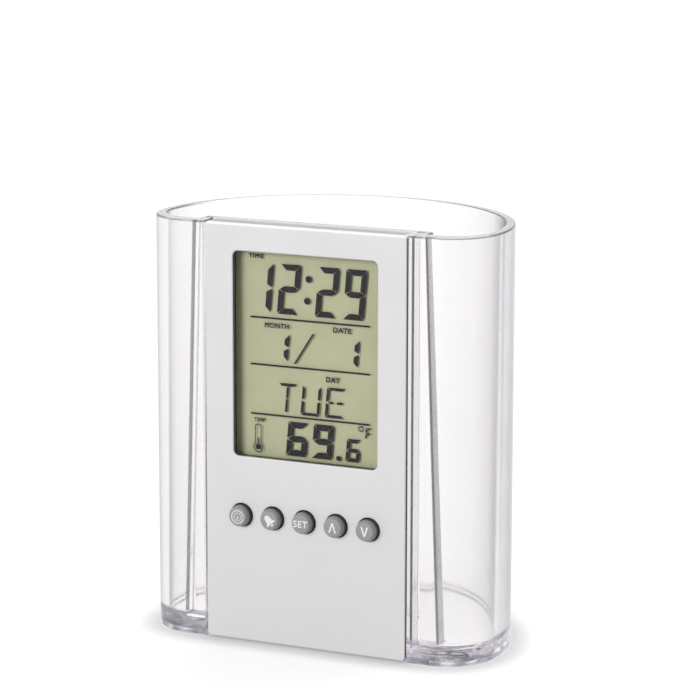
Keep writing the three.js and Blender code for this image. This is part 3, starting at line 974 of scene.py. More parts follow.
@dataclass
class ClearCup:
    """The clear cup: a drafted pen space behind a recess that takes the clock."""

    front_flat: float = 62.0
    corner_depth: float = 14.3
    front_wall: float = 3.5
    side_wall: float = 2.3
    wall_draft: float = 0.35
    ear_draft: float = 1.75
    floor_thickness: float = 4.4
    floor_radius: float = 0.4
    floor_steps: int = 6
    groove_half: float = 27.65
    groove_front: float = 4.55
    groove_stop: float = 3.0
    post_wall: float = 1.3
    recess_half: float = 25.9
    recess_depth: float = 6.2
    recess_back_wall: float = 1.6
    foot_inset: float = 0.8
    foot_height: float = 0.6
    rim_round: float = 0.45
    foot_round: float = 0.5
    recess_round: float = 0.25
    ear_edge: float = 0.6
    ear_nook: float = 0.8
    ear_steps: int = 6
    corner_steps: int = 36
    corner_power: float = 2.2
    rear_steps: int = 96
    half: float = field(init=False)
    depth: float = field(init=False)
    height: float = field(init=False)

    def __post_init__(self) -> None:
        """Reads the overall size from the frame."""
        self.half, self.depth, self.height = node_box("clear_cup")[1]

    def plan(self, right: Outline, rear: Point, z: float) -> Ring:
        """Closes a plan at a height: its right side, a half-oval back and the right side mirrored.

        Args:
            right: The right side, from front to back.
            rear: The back's half width and its depth.
            z: The height.

        Returns:
            The ring of points.
        """
        back = arc((0, self.corner_depth), rear, 0, 180, self.rear_steps)
        left = [(-x, y) for x, y in reversed(right)]
        return [Vector((x, y, z)) for x, y in right + back[1:-1] + left]

    def outside(self, inset: float, z: float) -> Ring:
        """Draws the cup's plan: a straight front, oval front corners and a half-oval back.

        Args:
            inset: How far the plan draws in.
            z: Its height.

        Returns:
            The ring of points.
        """
        flat = self.front_flat / 2
        corner = (self.half - flat - inset, self.corner_depth - inset)
        rear = (self.half - inset, self.depth - self.corner_depth - inset)
        right = arc((flat, self.corner_depth), corner, -90, 0, self.corner_steps, self.corner_power)
        return self.plan(right, rear, z)

    def inside(self, rounding: float, draft_from: float, z: float) -> Ring:
        """Draws the pen space's plan, which bends round the clock's recess.

        Args:
            rounding: How far the plan draws in, as well as by the draft.
            draft_from: The height that the draft is taken for.
            z: The height that the plan is drawn at.

        Returns:
            The ring of points.
        """
        deep = self.height - draft_from
        inset = math.tan(math.radians(self.wall_draft)) * deep + rounding
        flat, side = self.front_flat / 2, self.side_wall + inset
        ear = self.groove_half + self.post_wall + math.tan(math.radians(self.ear_draft)) * deep + rounding
        back_wall = self.recess_depth + self.recess_back_wall + inset
        corner = (self.half - flat - side, self.corner_depth - self.front_wall - inset)
        rear = (self.half - side, self.depth - self.corner_depth - side)
        reach = min(1.0, max(0.0, (ear + self.ear_nook - flat) / corner[0]))
        start = -math.degrees(math.acos(reach ** (self.corner_power / 2)))
        front = arc((flat, self.corner_depth), corner, start, 0, self.corner_steps, self.corner_power)
        edge, nook = self.ear_edge, self.ear_nook
        right = arc((ear - edge, back_wall - edge), (edge, edge), 90, 0, self.ear_steps)
        right += arc((ear + nook, front[0][1] + nook), (nook, nook), 180, 270, self.ear_steps)
        return self.plan(right + front, rear, z)

    def body(self) -> Blank:
        """Makes the outside, with a rounded foot and rim.

        Returns:
            The solid.
        """
        foot = [self.outside(inset, depth) for inset, depth in reversed(quarter_round(self.foot_round))]
        rim = [self.outside(inset, self.height - depth) for inset, depth in quarter_round(self.rim_round)]
        return Blank().solid(foot + rim)

    def pen_space(self) -> Blank:
        """Makes the pen space to cut out: a rounded floor edge, drafted walls and a flared rim.

        Returns:
            The solid.
        """
        bottom, top = self.floor_thickness, self.height
        floor = [
            self.inside(inset, bottom + rise, bottom + rise)
            for inset, rise in reversed(quarter_round(self.floor_radius, self.floor_steps))
        ]
        flare = [self.inside(-inset, top, top - depth) for inset, depth in quarter_round(self.rim_round)]
        return Blank().solid([*floor, *flare, self.inside(-self.rim_round, top, top + PAST)])

    def recess(self) -> Blank:
        """Makes the clock's recess to cut out, with eased front edges.

        Returns:
            The solid.
        """
        right = [(self.recess_half + inset, depth) for inset, depth in quarter_round(self.recess_round)]
        right = [(self.recess_half, self.recess_depth), *right, (right[-1][0], -PAST)]
        plan = right + [(-x, y) for x, y in reversed(right)]
        return Blank().solid([[Vector((x, y, z)) for x, y in plan] for z in (-PAST, self.height + PAST)])

    def build(self) -> None:
        """Carves and dresses the cup."""
        groove_low = (-self.groove_half, self.groove_front, self.groove_stop)
        grooves = Blank().box(groove_low, (self.groove_half, self.recess_depth, self.height + PAST))
        hollow = [self.inside(self.foot_inset, self.height, z) for z in (-PAST, self.foot_height)]
        cuts = [self.pen_space(), self.recess(), grooves, Blank().solid(hollow)]
        cup = self.body().carve(Cut.REMOVE, cuts)
        dress(cup, "cup_moulding", Palette.CLEAR, replaces=["clear_cup"])


class ButtonRole(Enum):
    """What each button does, from left to right."""

    CLOCK = "clock"
    ALARM = "alarm"
    SET = "set"
    UP = "up"
    DOWN = "down"

    @property
    def node(self) -> str:
        """Names the button's CAD node."""
        return f"button_{self.value}"

    @property
    def body(self) -> str:
        """Names the body that the button rides on."""
        return f"{self.value}_button"

    @property
    def joint(self) -> str:
        """Names the joint that the button moves on."""
        return f"{self.value}_press"

    @property
    def middle(self) -> Point:
        """Reads the button's place on the panel from the frame."""
        return node_middle(self.node)


@dataclass
class ClockPanel:
    """The clock's silver front shell, with its window, button holes, battery slot and bosses."""

    corner: float = 1.0
    edge_round: float = 0.4
    edge_steps: int = 5
    top_round: float = 0.8
    wall: float = 1.6
    side: float = 1.5
    window_half: float = 18.35
    window_bottom: float = 45.0
    window_top: float = 93.5
    window_corner: float = 1.3
    lip_round: float = 0.35
    hole_radius: float = 2.85
    hole_round: float = 0.12
    boss_radius: float = 1.7
    boss_steps: int = 32
    pilot_radius: float = 0.7
    pilot_depth: float = 2.2
    pilot_steps: int = 24
    rail_inner: float = 12.95
    rail_width: float = 1.0
    rail_top: float = 22.85
    half: float = field(init=False)
    bottom: float = field(init=False)
    top: float = field(init=False)
    back: float = field(init=False)

    def __post_init__(self) -> None:
        """Reads the overall size from the frame."""
        low, high = node_box("front_panel")
        self.half, self.back, self.bottom, self.top = high.x, high.y, low.z, high.z

    def outline(self, inset: float, depth: float) -> Ring:
        """Draws the shell's outline, whose top edge has a deeper rounding.

        Args:
            inset: How far it is drawn in.
            depth: Its place along Y.

        Returns:
            The ring of points.
        """
        corner = max(self.corner - inset, self.corner / 2)
        top = self.top - inset * self.top_round / self.edge_round
        return rounded_rectangle(self.half - inset, self.bottom + inset, top, corner, depth)

    def window(self, grow: float, depth: float) -> Ring:
        """Draws the window, grown by a share of its lip, at a depth."""
        low, high = self.window_bottom - grow, self.window_top + grow
        return rounded_rectangle(self.window_half + grow, low, high, self.window_corner + grow, depth)

    def hole(self, middle: Point, grow: float, depth: float) -> Ring:
        """Draws a button's hole, grown by a share of its edge, at a depth."""
        return circle(middle, self.hole_radius + grow, depth)

    def openings(self) -> list[tuple[Callable[[float, float], Ring], float]]:
        """Lists what draws each opening in the front by growth and depth, and its edge's radius."""
        holes = [(partial(self.hole, role.middle), self.hole_round) for role in ButtonRole]
        return [(self.window, self.lip_round), *holes]

    def shell(self) -> Blank:
        """Makes the shell: a rounded front with its openings, side walls and the space behind.

        Returns:
            The solid.
        """
        blank = Blank()
        rounding = quarter_round(self.edge_round, self.edge_steps)
        rear, front = blank.skin([self.outline(0, self.back), *(self.outline(*edge) for edge in rounding)])
        fronts, backs = [front], []
        for draw, radius in self.openings():
            lip = [draw(grow, depth) for grow, depth in reversed(quarter_round(radius))]
            near, far = blank.skin([*lip, draw(0, self.wall)])
            fronts.append(near)
            backs.append(far)
        half = self.half - self.side
        cavity = rectangle(-half, self.bottom + self.side, half, self.top - self.side)
        near, far = blank.skin([upright(cavity, depth) for depth in (self.wall, self.back)])
        blank.cap(*fronts)
        blank.cap(near, *backs)
        blank.cap(far, rear)
        return blank.tidy()

    def build(self, screws: Sequence[Point]) -> None:
        """Adds bosses and rails, cuts the battery's slot and dresses the shell.

        Args:
            screws: The screws' places.
        """
        start, pilot_start, mouth = self.wall / 2, self.back - self.pilot_depth, self.back + PAST
        added, removed = [], []
        for place in screws:
            boss = Blank().cylinder(self.boss_radius, start, self.back, self.boss_steps)
            pilot = Blank().cylinder(self.pilot_radius, pilot_start, mouth, self.pilot_steps)
            added.append(boss.shift(*place))
            removed.append(pilot.shift(*place))
        rail_foot, rail_outer = self.bottom + self.side / 2, self.rail_inner + self.rail_width
        for left, right in ((-rail_outer, -self.rail_inner), (self.rail_inner, rail_outer)):
            added.append(Blank().box((left, start, rail_foot), (right, self.back, self.rail_top)))
        slot_top = (self.rail_inner, mouth, self.bottom + self.side + PAST)
        removed.insert(0, Blank().box((-self.rail_inner, self.wall, self.bottom - PAST), slot_top))
        shell = self.shell().carve(Cut.JOIN, added).carve(Cut.REMOVE, removed)
        dress(shell, "panel_shell", Palette.SILVER, replaces=["front_panel"])


@dataclass(frozen=True)
class Characters:
    """A row of like characters of the display, each slanted and made of bars with mitred ends."""

    signs: str
    lefts: tuple[float, ...]
    bottom: float
    width: float
    height: float
    stroke: float
    gap: float = 0.14
    slope: float = 0.09
    thin: float = 0.42  # half the width of a thin bar, by the stroke
    tip: float = 1.6  # how far the middle bar's tips stay in, by the gap
    point: float = 1.5  # how far a broken bar's point reaches, by the stroke
    break_left: float = 0.8  # the break in that bar to the left of its centre, by the stroke
    break_right: float = 0.6  # the same to the right

    LIT = {
        "1": "bc",
        "2": "abged",
        "6": "afgedc",
        "9": "abcdfg",
        "T": "ail",
        "U": "fedcb",
        "E": "afedmn",
        "F": "afeg",
    }

    def bars(self) -> dict[str, Outline]:
        """Draws every bar of a character in its own upright cell.

        Returns:
            The corners of each bar, by its letter.
        """
        w, h, t, g = self.width, self.height, self.stroke, self.gap
        mid, centre, half, thin = h / 2, w / 2, t / 2, t * self.thin
        left, right, tip, point = t + g, w - t - g, self.tip * g, self.point * t
        inner_left, inner_right = t + g / 2, w - t - g / 2
        short_left, short_right = centre - t * self.break_left, centre + t * self.break_right
        low, high = mid - thin, mid + thin
        return {
            "a": [(g, h), (w - g, h), (right, h - t), (left, h - t)],
            "b": [(w, h - g), (w, mid + g), (w - t, mid + half + g), (w - t, h - t - g)],
            "c": [(w, mid - g), (w, g), (w - t, t + g), (w - t, mid - half - g)],
            "d": [(g, 0), (left, t), (right, t), (w - g, 0)],
            "e": [(0, mid - g), (t, mid - half - g), (t, t + g), (0, g)],
            "f": [(0, h - g), (t, h - t - g), (t, mid + half + g), (0, mid + g)],
            "g": [
                *((tip, mid), (inner_left, mid + half), (inner_right, mid + half)),
                *((w - tip, mid), (inner_right, mid - half), (inner_left, mid - half)),
            ],
            "i": rectangle(centre - thin, mid + g, centre + thin, h - t - g),
            "l": rectangle(centre - thin, half, centre + thin, mid - g),
            "m": [(t, mid), (point, high), (short_left, high), (short_left, low), (point, low)],
            "n": [(short_right, high), (w - t, high), (w - half, mid), (w - t, low), (short_right, low)],
        }

    def outlines(self) -> list[Outline]:
        """Picks the bars that are on, slants them and sets them in their places.

        Returns:
            The corners of each bar on the panel.
        """
        drawn = self.bars()
        return [
            [(left + u + self.slope * v, self.bottom + v) for u, v in drawn[bar]]
            for sign, left in zip(self.signs, self.lefts)
            for bar in self.LIT[sign]
        ]


@dataclass
class Display:
    """The liquid crystal display: glass, reflector, gasket and everything drawn between the sheets."""

    ink_gap: float = 0.015
    rows: tuple[Characters, ...] = (
        Characters("1229", (-15.36, -8.36, 1.34, 8.34), 79.0, 5.3, 11.75, 1.4),
        Characters("11", (-9.05, 8.75), 67.8, 3.4, 6.6, 1.15),
        Characters("TUE", (-8.5, -2.35, 3.85), 55.55, 4.75, 7.15, 0.68, 0.12),
        Characters("69", (-6.15, 0.42), 45.6, 5.25, 8.15, 1.5),
        Characters("6", (9.1,), 45.65, 3.55, 5.4, 0.95, 0.11),
        Characters("F", (14.1,), 51.3, 1.45, 2.75, 0.42, 0.08),
    )
    labels: tuple[tuple[str, Point, Point], ...] = (
        ("TIME", (-15.6, 91.65), (-11.8, 92.7)),
        ("MONTH", (-11.5, 75.5), (-5.3, 76.75)),
        ("DATE", (6.0, 75.7), (10.6, 76.95)),
        ("DAY", (4.2, 63.9), (7.8, 65.2)),
        ("TEMP", (-14.3, 52.95), (-11.4, 53.9)),
    )
    label_weight: float = 0.03
    rule_half: float = 15.2
    rule_heights: Triple = (77.8, 66.65, 54.85)
    rule_width: float = 0.42
    slash: tuple[Point, ...] = ((-4.05, 67.5), (-3.55, 67.5), (1.2, 74.9), (0.7, 74.9))
    colon: tuple[Point, Point] = ((-0.2, 87.6), (-0.6, 82.5))
    colon_radius: float = 0.8
    decimal: Point = (7.4, 46.15)
    decimal_radius: float = 0.62
    degree: Point = (13.05, 53.7)
    degree_radii: Span = (0.70, 0.48)
    bulb: Point = (-13.3, 46.9)
    bulb_radius: float = 1.3
    bulb_steps: int = 24
    tube_radius: float = 0.85
    tube_top: float = 51.6
    tube_steps: int = 12
    tube_stroke: float = 0.2
    filling_radius: float = 0.66
    filling_half: float = 0.15
    filling_heights: Triple = (47.2, 48.9, 49.2)
    dot_steps: int = 28
    strip_ease: float = 0.1
    front: float = field(init=False)
    back: float = field(init=False)

    def __post_init__(self) -> None:
        """Finds the slot between the two sheets of glass, where the drawn parts lie."""
        self.front = node_box("lcd_front_glass")[1].y + self.ink_gap
        self.back = node_box("lcd_rear_glass")[0].y - self.ink_gap

    def dots(self) -> list[Outline]:
        """Draws the colon, the point and the thermometer's filling.

        Returns:
            Their outlines.
        """
        spots = [(place, self.colon_radius) for place in self.colon]
        spots += [(self.decimal, self.decimal_radius), (self.bulb, self.filling_radius)]
        middle, half, (foot, shoulder, tip) = self.bulb[0], self.filling_half, self.filling_heights
        left, right = middle - half, middle + half
        column = [(left, foot), (right, foot), (right, shoulder), (middle, tip), (left, shoulder)]
        return [*(ring_outline(place, radius, self.dot_steps) for place, radius in spots), column]

    def lines(self) -> list[Outline]:
        """Draws the three rules across the display and the slash of the date.

        Returns:
            Their outlines.
        """
        across, half = self.rule_half, self.rule_width / 2
        rules = [rectangle(-across, z - half, across, z + half) for z in self.rule_heights]
        return [*rules, list(self.slash)]

    def hollow(self, outer: Outline, inner: Outline) -> list[Outline]:
        """Splits the band between two outlines into two halves, each a plain outline.

        Args:
            outer: The outer corners.
            inner: The inner corners, as many as the outer ones.

        Returns:
            The two halves.
        """
        half = len(outer) // 2
        spans = (range(half + 1), range(half - len(outer), 1))
        return [[outer[i] for i in span] + [inner[i] for i in reversed(span)] for span in spans]

    def thermometer(self, stroke: float) -> Outline:
        """Draws the thermometer's outline, drawn in by a stroke.

        Args:
            stroke: How far it is drawn in.

        Returns:
            The corners.
        """
        bulb, tube = self.bulb_radius - stroke, self.tube_radius - stroke
        reach = math.degrees(math.asin(tube / bulb))
        round_bulb = arc(self.bulb, (bulb, bulb), 90 + reach, 450 - reach, self.bulb_steps)
        return round_bulb + arc((self.bulb[0], self.tube_top), (tube, tube), 0, 180, self.tube_steps)

    def bands(self) -> list[Outline]:
        """Draws the degree sign's ring and the thermometer's glass."""
        degree = self.hollow(*(ring_outline(self.degree, r, self.dot_steps) for r in self.degree_radii))
        return degree + self.hollow(self.thermometer(0.0), self.thermometer(self.tube_stroke))

    def build(self) -> None:
        """Builds the drawn parts and finishes the layers."""
        segments, labels = Blank(), Blank()
        characters = [outline for row in self.rows for outline in row.outlines()]
        for outline in [*characters, *self.dots(), *self.lines(), *self.bands()]:
            segments.sheet(outline, self.front, self.back)
        for text, low, high in self.labels:
            labels.word(text, low, high, self.front, self.back, self.label_weight)
        dress(segments, "display_segments", Palette.INK)
        dress(labels, "display_labels", Palette.INK)
        for sheet in ("lcd_front_glass", "lcd_rear_glass"):
            pane = finish_node(sheet, Palette.GLASS)
            pane.visible_shadow = False
            pane.visible_diffuse = False
        finish_node("lcd_reflector", Palette.FILM)
        finish_node("lcd_gasket", Palette.FOAM)
        finish_node("lcd_frame", Palette.FRAME, self.strip_ease)
        for strip in ("zebra_strip_top", "zebra_strip_bottom"):
            finish_node(strip, Palette.CONNECTOR, self.strip_ease)


@dataclass
class PushButtons:
    """Five push buttons with printed faces, on rubber domes."""

    face_radius: float = 1.95
    side_radius: float = 2.6
    skirt: float = 0.5
    flange_radius: float = 3.7
    flange_front: float = 1.7
    flange_back: float = 2.3
    pusher_radius: float = 1.6
    shoulder_steps: int = 12
    print_height: float = 0.03
    word_half: Point = (1.8, 0.82)
    word_weight: float = 0.02
    dial_radii: Span = (1.62, 1.4)
    dial_steps: int = 24
    tick: tuple[float, float, float, float] = (-0.09, 0.72, 0.09, 1.12)
    hand: tuple[float, float, float, float] = (-0.12, -0.62, 0.12, 0.2)
    bell_side: tuple[Point, Point] = ((1.4, -1.0), (0.86, -0.35))
    bell_top: Point = (0, 0.45)
    bell_radii: Point = (0.74, 0.9)
    bell_steps: int = 12
    clapper: Point = (0, -1.18)
    clapper_radius: float = 0.42
    clapper_steps: int = 10
    bell_swing: float = 40.0
    arrow_half: float = 0.98
    arrow_tall: float = 1.15
    arrow_stroke: float = 0.44
    arrow_notch: float = 0.55
    dome_top: float = 1.7
    dome_base: float = 2.6
    dome_wall: float = 0.45
    dome_round: float = 0.2
    travel: float = 0.8

    def cap(self, role: ButtonRole) -> None:
        """Builds one button.

        Args:
            role: Which button.
        """
        low, high = node_box(role.node)
        reach = (self.side_radius - self.face_radius, -self.skirt - low.y)
        shoulder = arc((self.face_radius, -self.skirt), reach, -90, 0, self.shoulder_steps)
        profile = [
            (0, low.y),
            *shoulder,
            (self.side_radius, self.flange_front),
            (self.flange_radius, self.flange_front),
            (self.flange_radius, self.flange_back),
            (self.pusher_radius, self.flange_back),
            (self.pusher_radius, high.y),
            (0, high.y),
        ]
        blank = Blank().turn(profile).shift(*role.middle)
        dress(blank, f"{role.node}_cap", Palette.BUTTON, role.body, [role.node])

    def sign(self, role: ButtonRole) -> None:
        """Prints one button's sign on its face.

        Args:
            role: Which button.
        """
        face = node_box(role.node)[0].y
        front, back = face - self.print_height, face + self.print_height
        blank = Blank()
        if role is ButtonRole.SET:
            half, tall = self.word_half
            blank.word("SET", (-half, -tall), (half, tall), front, back, self.word_weight)
        else:
            for outline in self.outlines(role):
                blank.sheet(outline, front, back)
        blank.shift(*role.middle)
        dress(blank, f"{role.node}_print", Palette.PRINT, role.body)

    def outlines(self, role: ButtonRole) -> list[Outline]:
        """Draws the sign of a button that has no word on it.

        Args:
            role: Which button.

        Returns:
            The sign's outlines.
        """
        if role is ButtonRole.CLOCK:
            return self.dial()
        if role is ButtonRole.ALARM:
            return self.bell()
        return [self.arrow(1 if role is ButtonRole.UP else -1)]

    def turned(self, outline: Iterable[Point], angle: float) -> Outline:
        """Turns an outline about its origin, by degrees."""
        turn = Matrix.Rotation(math.radians(angle), 2)
        return [tuple(turn @ Vector(point)) for point in outline]

    def dial(self) -> list[Outline]:
        """Draws a clock dial: a ring in two halves, twelve ticks and a hand.

        Returns:
            The outlines.
        """
        outer, inner = ((radius, radius) for radius in self.dial_radii)
        halves = [
            arc((0, 0), outer, start, start + 180, self.dial_steps)
            + arc((0, 0), inner, start + 180, start, self.dial_steps)
            for start in (0, 180)
        ]
        ticks = [self.turned(rectangle(*self.tick), 30 * hour) for hour in range(12)]
        return [*halves, *ticks, rectangle(*self.hand)]

    def bell(self) -> list[Outline]:
        """Draws a bell that swings to the right, with its clapper.

        Returns:
            The outlines.
        """
        dome = arc(self.bell_top, self.bell_radii, 0, 180, self.bell_steps)
        body = [*self.bell_side, *dome, *((-x, z) for x, z in reversed(self.bell_side))]
        radii = (self.clapper_radius, self.clapper_radius)
        clapper = arc(self.clapper, radii, 180, 360, self.clapper_steps)
        return [self.turned(outline, self.bell_swing) for outline in (body, clapper)]

    def arrow(self, way: int) -> Outline:
        """Draws an arrow head of two strokes.

        Args:
            way: 1 to point up, -1 to point down.

        Returns:
            The outline.
        """
        half, tall, stroke = self.arrow_half, self.arrow_tall, self.arrow_stroke
        left = [(-stroke / 2, tall), (-half, -tall), (stroke - half, -tall)]
        right = [(-x, z) for x, z in reversed(left)]
        return [(x, way * z) for x, z in [*left, (0, self.arrow_notch), *right]]

    def dome(self, role: ButtonRole) -> None:
        """Builds the rubber dome that returns one button, on a mesh of its own.

        Args:
            role: Which button.
        """
        node = f"dome_{role.value}"
        low, high = node_box(node)
        top, seat = low.y, high.y
        rim = [(self.dome_top - x, top + y) for x, y in reversed(quarter_round(self.dome_round))]
        profile = [
            (0, top),
            *rim,
            (self.dome_base, seat),
            (self.dome_base - self.dome_wall, seat),
            (self.dome_top - self.dome_wall, top + self.dome_wall),
            (0, top + self.dome_wall),
        ]
        x, z = role.middle
        blank = Blank().turn(profile).shift(x, z)
        piece = dress(blank, f"{node}_rubber", Palette.RUBBER, replaces=[node])
        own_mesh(piece)

    def build(self) -> None:
        """Builds every button, its print and its dome."""
        for role in ButtonRole:
            self.cap(role)
            self.sign(role)
            self.dome(role)


@dataclass
class RearShell:
    """The clock's back cover with its side flanges, and the four screws that hold it."""

    panel_half: float = 25.84
    flange_bottom: float = 3.25
    rail_joint: float = 0.02
    rail_round: float = 0.12
    hole_radius: float = 0.8
    bore_radius: float = 1.5
    seat: float = 0.45
    bore_round: float = 0.15
    head_radius: float = 1.3
    head_height: float = 0.6
    head_round: float = 0.3
    shank_radius: float = 0.6
    tip_radius: float = 0.45
    tip_length: float = 0.3
    screw_steps: int = 40
    cross_long: float = 0.8
    cross_wide: float = 0.17
    cross_deep: float = 0.35
    screws: tuple[str, ...] = tuple(f"cover_screw_{index}" for index in range(1, 5))

    def places(self) -> list[Point]:
        """Reads the screws' places on the panel from the frame."""
        return [node_middle(screw) for screw in self.screws]

    def cover(self) -> None:
        """Builds the back cover, with a stepped bore for each screw."""
        low, high = node_box("back_cover")
        outline = rectangle(-self.panel_half, low.z, self.panel_half, high.z)
        blank = Blank()
        front, back = blank.skin([upright(outline, depth) for depth in (low.y, high.y)])
        fronts, backs = [front], [back]
        seat = low.y + self.seat
        steps = [(self.hole_radius, low.y), (self.hole_radius, seat), (self.bore_radius, seat)]
        mouth = quarter_round(self.bore_round)
        steps += [(self.bore_radius + grow, high.y - depth) for grow, depth in mouth]
        for place in self.places():
            near, far = blank.skin([circle(place, radius, depth) for radius, depth in steps])
            fronts.append(near)
            backs.append(far)
        blank.cap(*fronts)
        blank.cap(*backs)
        dress(blank, "rear_cover", Palette.COVER, replaces=["back_cover"])

    def rails(self) -> None:
        """Builds the two clear rails on the cover's sides, which slide into the cup's grooves."""
        low, high = node_box("back_cover")
        blank = Blank()
        start = self.panel_half + self.rail_joint
        blank.box((start, low.y, self.flange_bottom), (high.x, high.y, high.z))
        blank.box((low.x, low.y, self.flange_bottom), (-start, high.y, high.z))
        bmesh.ops.bevel(
            blank.bm,
            geom=blank.bm.edges,
            offset=self.rail_round,
            segments=EASE_STEPS,
            profile=0.5,
            affect="EDGES",
            material=-1,
        )
        dress(blank, "cover_side_rails", Palette.CLEAR)

    def screw(self, node: str, place: Point) -> None:
        """Builds one screw with a cross recess.

        Args:
            node: The screw's CAD node.
            place: Its place on the panel.
        """
        low, high = node_box(node)
        under = high.y - self.head_height
        edge = [(self.head_radius - x, high.y - y) for x, y in quarter_round(self.head_round)]
        profile = [(0, low.y), (self.tip_radius, low.y), (self.shank_radius, low.y + self.tip_length)]
        profile += [(self.shank_radius, under), (self.head_radius, under), *edge, (0, high.y)]
        cross = [
            Blank().box((-wide, high.y - self.cross_deep, -tall), (wide, high.y + PAST, tall))
            for wide, tall in ((self.cross_long, self.cross_wide), (self.cross_wide, self.cross_long))
        ]
        blank = Blank().turn(profile, self.screw_steps).carve(Cut.REMOVE, cross).shift(*place)
        dress(blank, f"{node}_steel", Palette.STEEL, replaces=[node])

    def build(self) -> None:
        """Builds the cover, its rails and its screws."""
        self.cover()
        self.rails()
        for node, place in zip(self.screws, self.places()):
            self.screw(node, place)


@dataclass
class BatteryDrawer:
    """The tray that pulls down out of the clock, with its cell and the contacts that stay behind."""

    body: str = "battery_drawer"
    cap_radius: float = 8.6
    seal_radius: float = 9.1
    seal_depth: float = 0.12
    can_round: float = 0.35
    can_steps: int = 96
    tray_ease: float = 0.08

    def cell(self) -> None:
        """Builds the cell: a can with a rolled edge, a seal and a flat cap."""
        low, high = node_box("coin_cell")
        radius, front, back = high.x, low.y, high.y
        edge = [(radius - x, front + y) for x, y in reversed(quarter_round(self.can_round))]
        foot = [(radius - x, back - y) for x, y in quarter_round(self.can_round)]
        sunk = front + self.seal_depth
        profile = [
            (0, front),
            (self.cap_radius - self.seal_depth, front),
            (self.cap_radius, sunk),
            (self.seal_radius, sunk),
            (self.seal_radius + self.seal_depth, front),
            *edge,
            *foot,
            (0, back),
        ]
        blank = Blank().turn(profile, self.can_steps).shift(0, (low.z + high.z) / 2)
        dress(blank, "coin_cell_can", Palette.STEEL, self.body, ["coin_cell"])

    def build(self) -> None:
        """Builds the cell and finishes the tray and the contacts."""
        self.cell()
        finish_node("battery_tray", Palette.TRAY, self.tray_ease)
        for contact in ("contact_positive", "contact_negative"):
            finish_node(contact, Palette.BRASS)


@dataclass
class Electronics:
    """The board and what stands on it, and the buzzer with its wires."""

    board_ease: float = 0.08

    def build(self) -> None:
        """Finishes each node, which keeps its CAD shape."""
        finish_node("circuit_board", Palette.BOARD, self.board_ease)
        for node, finish in (
            ("clock_chip", Palette.RESIN),
            ("quartz_crystal", Palette.STEEL),
            ("thermistor", Palette.BEAD),
            ("piezo_buzzer", Palette.BRASS),
            ("buzzer_wire_1", Palette.RED_WIRE),
            ("buzzer_wire_2", Palette.BLACK_WIRE),
        ):
            finish_node(node, finish)


@dataclass
class Lamp:
    """A soft square lamp that points at the object."""

    name: str
    place: Triple
    side: float
    level: float

    def build(self, target: Vector) -> None:
        """Hangs the lamp.

        Args:
            target: The point that it faces.
        """
        reach = target - Vector(self.place)
        light = bpy.data.lights.new(self.name, "AREA")
        light.shape = "SQUARE"
        light.size = self.side
        light.energy = self.level * math.pi**2 * reach.length_squared
        lamp = bpy.data.objects.new(self.name, light)
        lamp.location = self.place
        lamp.rotation_euler = reach.to_track_quat("-Z", "Y").to_euler()
        lamp.visible_transmission = False
        bpy.context.scene.collection.objects.link(lamp)


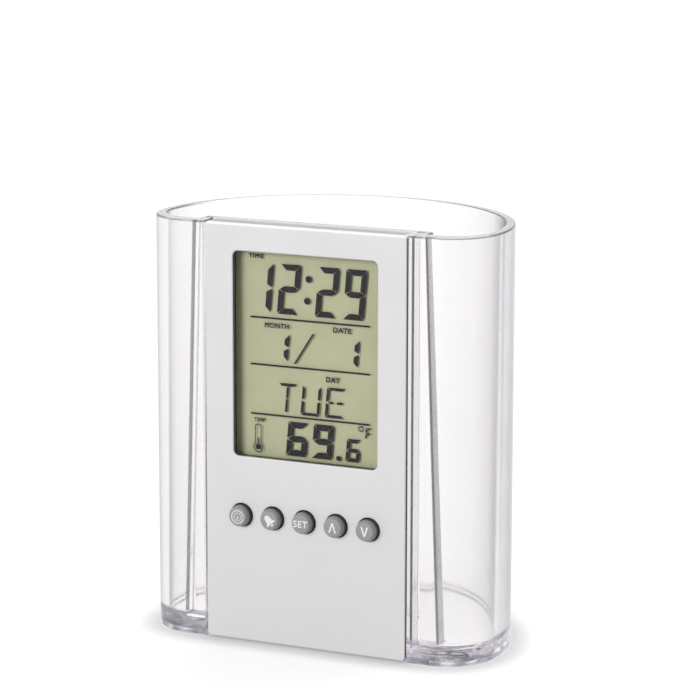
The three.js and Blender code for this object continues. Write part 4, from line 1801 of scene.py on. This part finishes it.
@dataclass
class Studio:
    """A white table and backdrop, soft lamps and a camera at the photograph's angle."""

    camera_place: Triple = (0.287386, -0.626465, 0.205195)
    camera_forward: Triple = (-0.40934, 0.89091, -0.19677)
    camera_roll: float = 0.10
    focal_share: float = 4.22
    sensor: float = 36.0
    floor_side: float = 6.0
    floor_drop: float = 0.00005
    floor_colour: Colour = (194, 194, 195)
    floor_fibre: Pattern = Pattern(1.5, 4.0)
    fibre_change: Span = (-0.01, 0.01)
    floor_roughness: float = 0.8
    floor_gloss: float = 0.1
    floor_glow: Span = (0.64, 0.85)
    glow_reach: Span = (0.12, 2.50)
    contact_reach: float = 0.008
    contact_depth: float = 1.5
    contact_least: float = 0.6
    ambient: float = 0.32
    light_paths: int = 48
    lamps: tuple[Lamp, ...] = (
        Lamp("key_lamp", (-0.70, -2.05, 0.60), 0.95, 0.53),
        Lamp("top_lamp", (0.10, 0.85, 1.70), 1.60, 0.55),
    )

    def background_share(self, wiring: Wiring) -> Socket:
        """Tells camera, mirrored and refracted rays from those that light the object.

        Args:
            wiring: The node tree to work in.

        Returns:
            1 for rays that show the background, and 0 for the others.
        """
        path = wiring.node("ShaderNodeLightPath").outputs
        seen = path["Is Camera Ray"]
        for kind in ("Is Glossy Ray", "Is Transmission Ray"):
            seen = wiring.math("MAXIMUM", seen, path[kind])
        return wiring.math("MAXIMUM", wiring.math("SUBTRACT", seen, path["Diffuse Depth"]), 0.0)

    def paper(self) -> bpy.types.Material:
        """Mixes the table's paper: white where nothing shades it, with a soft contact shadow.

        Returns:
            The material.
        """
        surface = Surface("table_paper")
        distance = surface.node("ShaderNodeVectorMath")
        distance.operation = "LENGTH"
        surface.feed(distance.inputs[0], surface.place)
        level = surface.ramp(distance.outputs["Value"], *self.glow_reach, *self.floor_glow)
        open_air = surface.node("ShaderNodeAmbientOcclusion", Distance=self.contact_reach).outputs["AO"]
        open_air = surface.math("MAXIMUM", open_air, self.contact_least)
        seen = surface.node("ShaderNodeLightPath").outputs["Is Camera Ray"]
        contact = surface.math("POWER", open_air, surface.math("MULTIPLY", seen, self.contact_depth))
        surface.set(
            Base_Color=surface.toned(self.floor_fibre, self.floor_colour, self.fibre_change),
            Roughness=self.floor_roughness,
            Specular_IOR_Level=self.floor_gloss,
            Emission_Color=WHITE,
            Emission_Strength=surface.product(self.background_share(surface), level, contact),
        )
        return surface.material

    def floor(self) -> None:
        """Lays the table under the object."""
        blank = Blank()
        bmesh.ops.create_grid(blank.bm, x_segments=1, y_segments=1, size=self.floor_side / 2)
        bmesh.ops.translate(blank.bm, verts=blank.bm.verts, vec=(0, 0, -self.floor_drop))
        mesh = blank.mesh("table")
        mesh.materials.append(self.paper())
        table = bpy.data.objects.new("table", mesh)
        bpy.context.scene.collection.objects.link(table)

    def world(self) -> None:
        """Makes the surroundings: white to look at, and dimmer as a light."""
        world = bpy.data.worlds.new("studio")
        world.use_nodes = True
        wiring = Wiring(world.node_tree)
        level = wiring.ramp(self.background_share(wiring), 0.0, 1.0, self.ambient, 1.0)
        wiring.fill(wiring.tree.nodes["Background"], Color=WHITE, Strength=level)
        bpy.context.scene.world = world

    def camera(self) -> None:
        """Places the camera where the photograph was taken from."""
        data = bpy.data.cameras.new("photograph_view")
        data.sensor_width = self.sensor
        data.lens = self.focal_share * self.sensor
        camera = bpy.data.objects.new("photograph_view", data)
        turn = Vector(self.camera_forward).to_track_quat("-Z", "Y").to_matrix().to_4x4()
        roll = Matrix.Rotation(math.radians(self.camera_roll), 4, "Z")
        camera.matrix_world = Matrix.Translation(self.camera_place) @ turn @ roll
        bpy.context.scene.collection.objects.link(camera)
        bpy.context.scene.camera = camera

    def build(self) -> None:
        """Builds the table, the light and the camera."""
        self.floor()
        self.world()
        self.camera()
        for lamp in self.lamps:
            lamp.build((CAD_BOX[0] + CAD_BOX[1]) / 2)
        scene = bpy.context.scene
        scene.view_settings.view_transform = "Standard"
        for limit in ("max_bounces", "glossy_bounces", "transmission_bounces", "transparent_max_bounces"):
            setattr(scene.cycles, limit, self.light_paths)


def main() -> None:
    """Builds the object's pieces in order, then the studio."""
    logging.basicConfig(level=logging.INFO, format="%(name)s: %(message)s")
    rear = RearShell()
    ClearCup().build()
    ClockPanel().build(rear.places())
    Display().build()
    PushButtons().build()
    rear.build()
    BatteryDrawer().build()
    Electronics().build()
    Studio().build()


if __name__ == "__main__":
    main()
